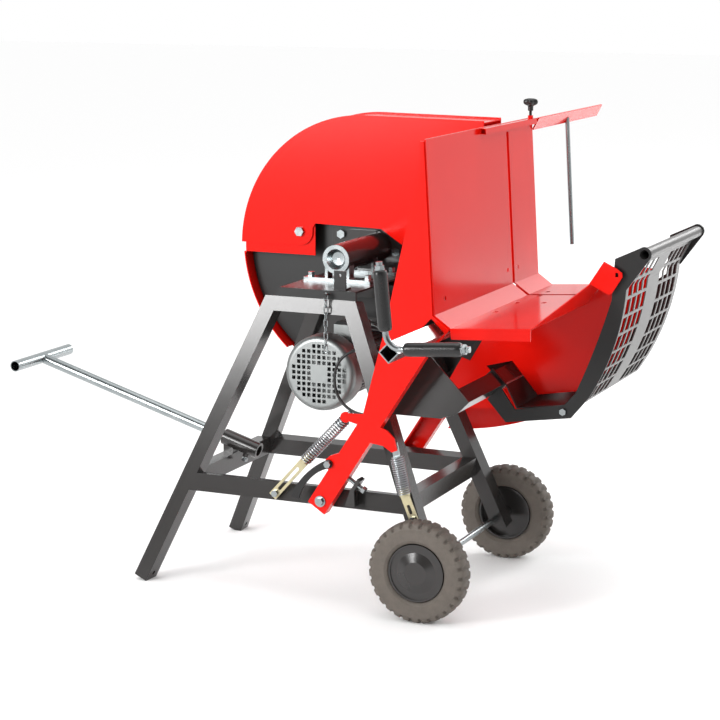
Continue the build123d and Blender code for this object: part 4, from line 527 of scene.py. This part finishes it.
# %% Motor cable
CABLE_DIAMETER = 0.008
CABLE_ROUTE = [(164, -20, 698), (224, -20, 698), (272, -66, 690), (258, -128, 677), (203, -166, 668),
               (161, -176, 638), (148, -178, 587), (160, -180, 537), (200, -185, 504), (252, -192, 497),
               (318, -203, 500)]
BEVEL_STEPS = 4
STEPS_PER_POINT = 16
SPLINE_ORDER = 3

route = to_row(CABLE_ROUTE)
cable_curve = bpy.data.curves.new("motor_cable_lead", "CURVE")
cable_curve.dimensions = "3D"
cable_curve.bevel_depth = CABLE_DIAMETER / 2
cable_curve.bevel_resolution = BEVEL_STEPS
cable_curve.use_fill_caps = True
cable_curve.resolution_u = STEPS_PER_POINT
spline = cable_curve.splines.new("NURBS")
spline.points.add(len(route) - 1)
spline.points.foreach_set("co", np.column_stack([route, np.ones(len(route))]).ravel())
spline.order_u = SPLINE_ORDER
spline.use_endpoint_u = True
cable = bpy.data.objects.new("motor_cable_lead", cable_curve)
cable_curve.materials.append(finish["black_rubber"])
bpy.context.collection.objects.link(cable)
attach(cable, "frame")
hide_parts("motor_cable")
print("cable length", round(spline.calc_length(), 3), "m")

# %% [markdown]
# Where the cable leaves the box, a ribbed rubber sleeve keeps it from kinking. It tapers from the box to the
# cable. Its ribs could be rings set on a cone, but a moulded sleeve is one skin, so they are a softened
# square wave added to the taper. It starts a little inside the box, so that no gap shows.

# %% Strain relief
SLEEVE_LENGTH = 0.032
SLEEVE_INSIDE = 0.001
SLEEVE_RADII = [0.0085, 0.0052]
SLEEVE_STEPS = 90
RIB_PITCH = 0.006
RIB_HEIGHT = 0.0007
RIB_SHARPNESS = 6

sleeve_along = np.linspace(-SLEEVE_INSIDE, SLEEVE_LENGTH, SLEEVE_STEPS)
ribs = RIB_HEIGHT * np.tanh(RIB_SHARPNESS * np.sin(2 * np.pi * sleeve_along / RIB_PITCH))
sleeve_radii = np.interp(sleeve_along, [0, SLEEVE_LENGTH], SLEEVE_RADII) + ribs
sleeve_end = route[0] + SLEEVE_LENGTH * np.array([1.0, 0.0, 0.0])
sleeve_points = swept_round(route[0], sleeve_end, sleeve_along, sleeve_radii)
sleeve = grid_piece("cable_sleeve", sleeve_points, "black_rubber", closed_u=False)
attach(sleeve, "frame")

# %% [markdown]
# The studio has a white paper floor and a white surround behind the machine. What mirrors the room in front
# of the machine finds it dark, so that faces turned to the camera keep their full colour while faces seen at
# a slant mirror the white. The camera itself sees plain white all round.

# %% Floor and surround
FLOOR_HALF = 30.0
DARK_HEADING = -0.5
WHITE_HEADING = 0.4
DARK_STRENGTH = 0.12
WHITE_STRENGTH = 1.0

floor_corners = [(x * FLOOR_HALF, y * FLOOR_HALF, 0.0) for x, y in ((-1, -1), (1, -1), (1, 1), (-1, 1))]
floor_mesh = bpy.data.meshes.new("studio_floor")
floor_mesh.from_pydata(floor_corners, [], [(0, 1, 2, 3)])
floor = bpy.data.objects.new("studio_floor", floor_mesh)
bpy.context.collection.objects.link(floor)
floor_finish, floor_tree, _ = new_finish("studio_floor_paper")
paper = add(floor_tree, "ShaderNodeBsdfDiffuse", {"Color": linear("#fdfdfd")})
add(floor_tree, "ShaderNodeOutputMaterial", {"Surface": paper.outputs["BSDF"]})
floor_mesh.materials.append(floor_finish)

world = bpy.data.worlds.new("studio_surround")
bpy.context.scene.world = world
world.use_nodes = True
sky = world.node_tree
sky.nodes.clear()


def larger(first, second):
    """The larger of two values."""
    return add(sky, "ShaderNodeMath", {0: first, 1: second}, operation="MAXIMUM").outputs["Value"]


rays = add(sky, "ShaderNodeLightPath").outputs
direct = larger(rays["Is Camera Ray"], rays["Is Transmission Ray"])
seen = larger(direct, rays["Is Glossy Ray"])
heading = add(sky, "ShaderNodeSeparateXYZ", {0: add(sky, "ShaderNodeTexCoord").outputs["Generated"]})
room = add(sky, "ShaderNodeMapRange",
           {"Value": heading.outputs["Y"], "From Min": DARK_HEADING, "From Max": WHITE_HEADING,
            "To Min": DARK_STRENGTH, "To Max": WHITE_STRENGTH})
even_white = add(sky, "ShaderNodeBackground", {"Color": linear("#ffffff"), "Strength": WHITE_STRENGTH})
seen_white = add(sky, "ShaderNodeBackground",
                 {"Color": linear("#ffffff"), "Strength": larger(direct, room.outputs["Result"])})
surround = add(sky, "ShaderNodeMixShader",
               {0: seen, 1: even_white.outputs["Background"], 2: seen_white.outputs["Background"]})
add(sky, "ShaderNodeOutputWorld", {"Surface": surround.outputs["Shader"]})
print("floor", 2 * FLOOR_HALF, "m wide, surround set")

# %% [markdown]
# One large soft lamp hangs above. A smaller one stands at the front left. Its lower edge is a little above
# the frame's top and its beam is narrow, so that it shines back only from the upper part of the legs. Behind
# the machine one lamp brightens the paper that the tall panel mirrors, and one faces the chamfer below it.

# %% Lamps
LAMPS = {"top_lamp": {"place": (0.3, -0.3, 4.2), "aim": (0.2, 0.0, 0.6),
                      "size": 3.0, "power": 42.0, "spread": 180.0},
         "front_lamp": {"place": (-1.6, -3.1, 1.65), "aim": (-0.1, -0.4, 0.85),
                        "size": 1.5, "power": 10.5, "spread": 45.0},
         "paper_lamp": {"place": (2.4, 4.6, 3.0), "aim": (2.4, 4.7, 0.0),
                        "size": 2.4, "power": 170.0, "spread": 180.0},
         "back_lamp": {"place": (1.3, 4.2, 2.6), "aim": (0.5, 0.0, 0.8),
                       "size": 1.6, "power": 14.0, "spread": 180.0}}

for name, look in LAMPS.items():
    lamp = bpy.data.lights.new(name, "AREA")
    lamp.shape = "SQUARE"
    lamp.size = look["size"]
    lamp.energy = look["power"]
    lamp.spread = radians(look["spread"])
    holder = bpy.data.objects.new(name, lamp)
    holder.location = look["place"]
    away = np.array(look["place"]) - np.array(look["aim"])
    level = np.hypot(away[0], away[1])
    holder.rotation_euler = (np.arctan2(level, away[2]), 0.0, np.arctan2(away[0], -away[1]))
    bpy.context.collection.objects.link(holder)
print("lamps:", len(LAMPS))
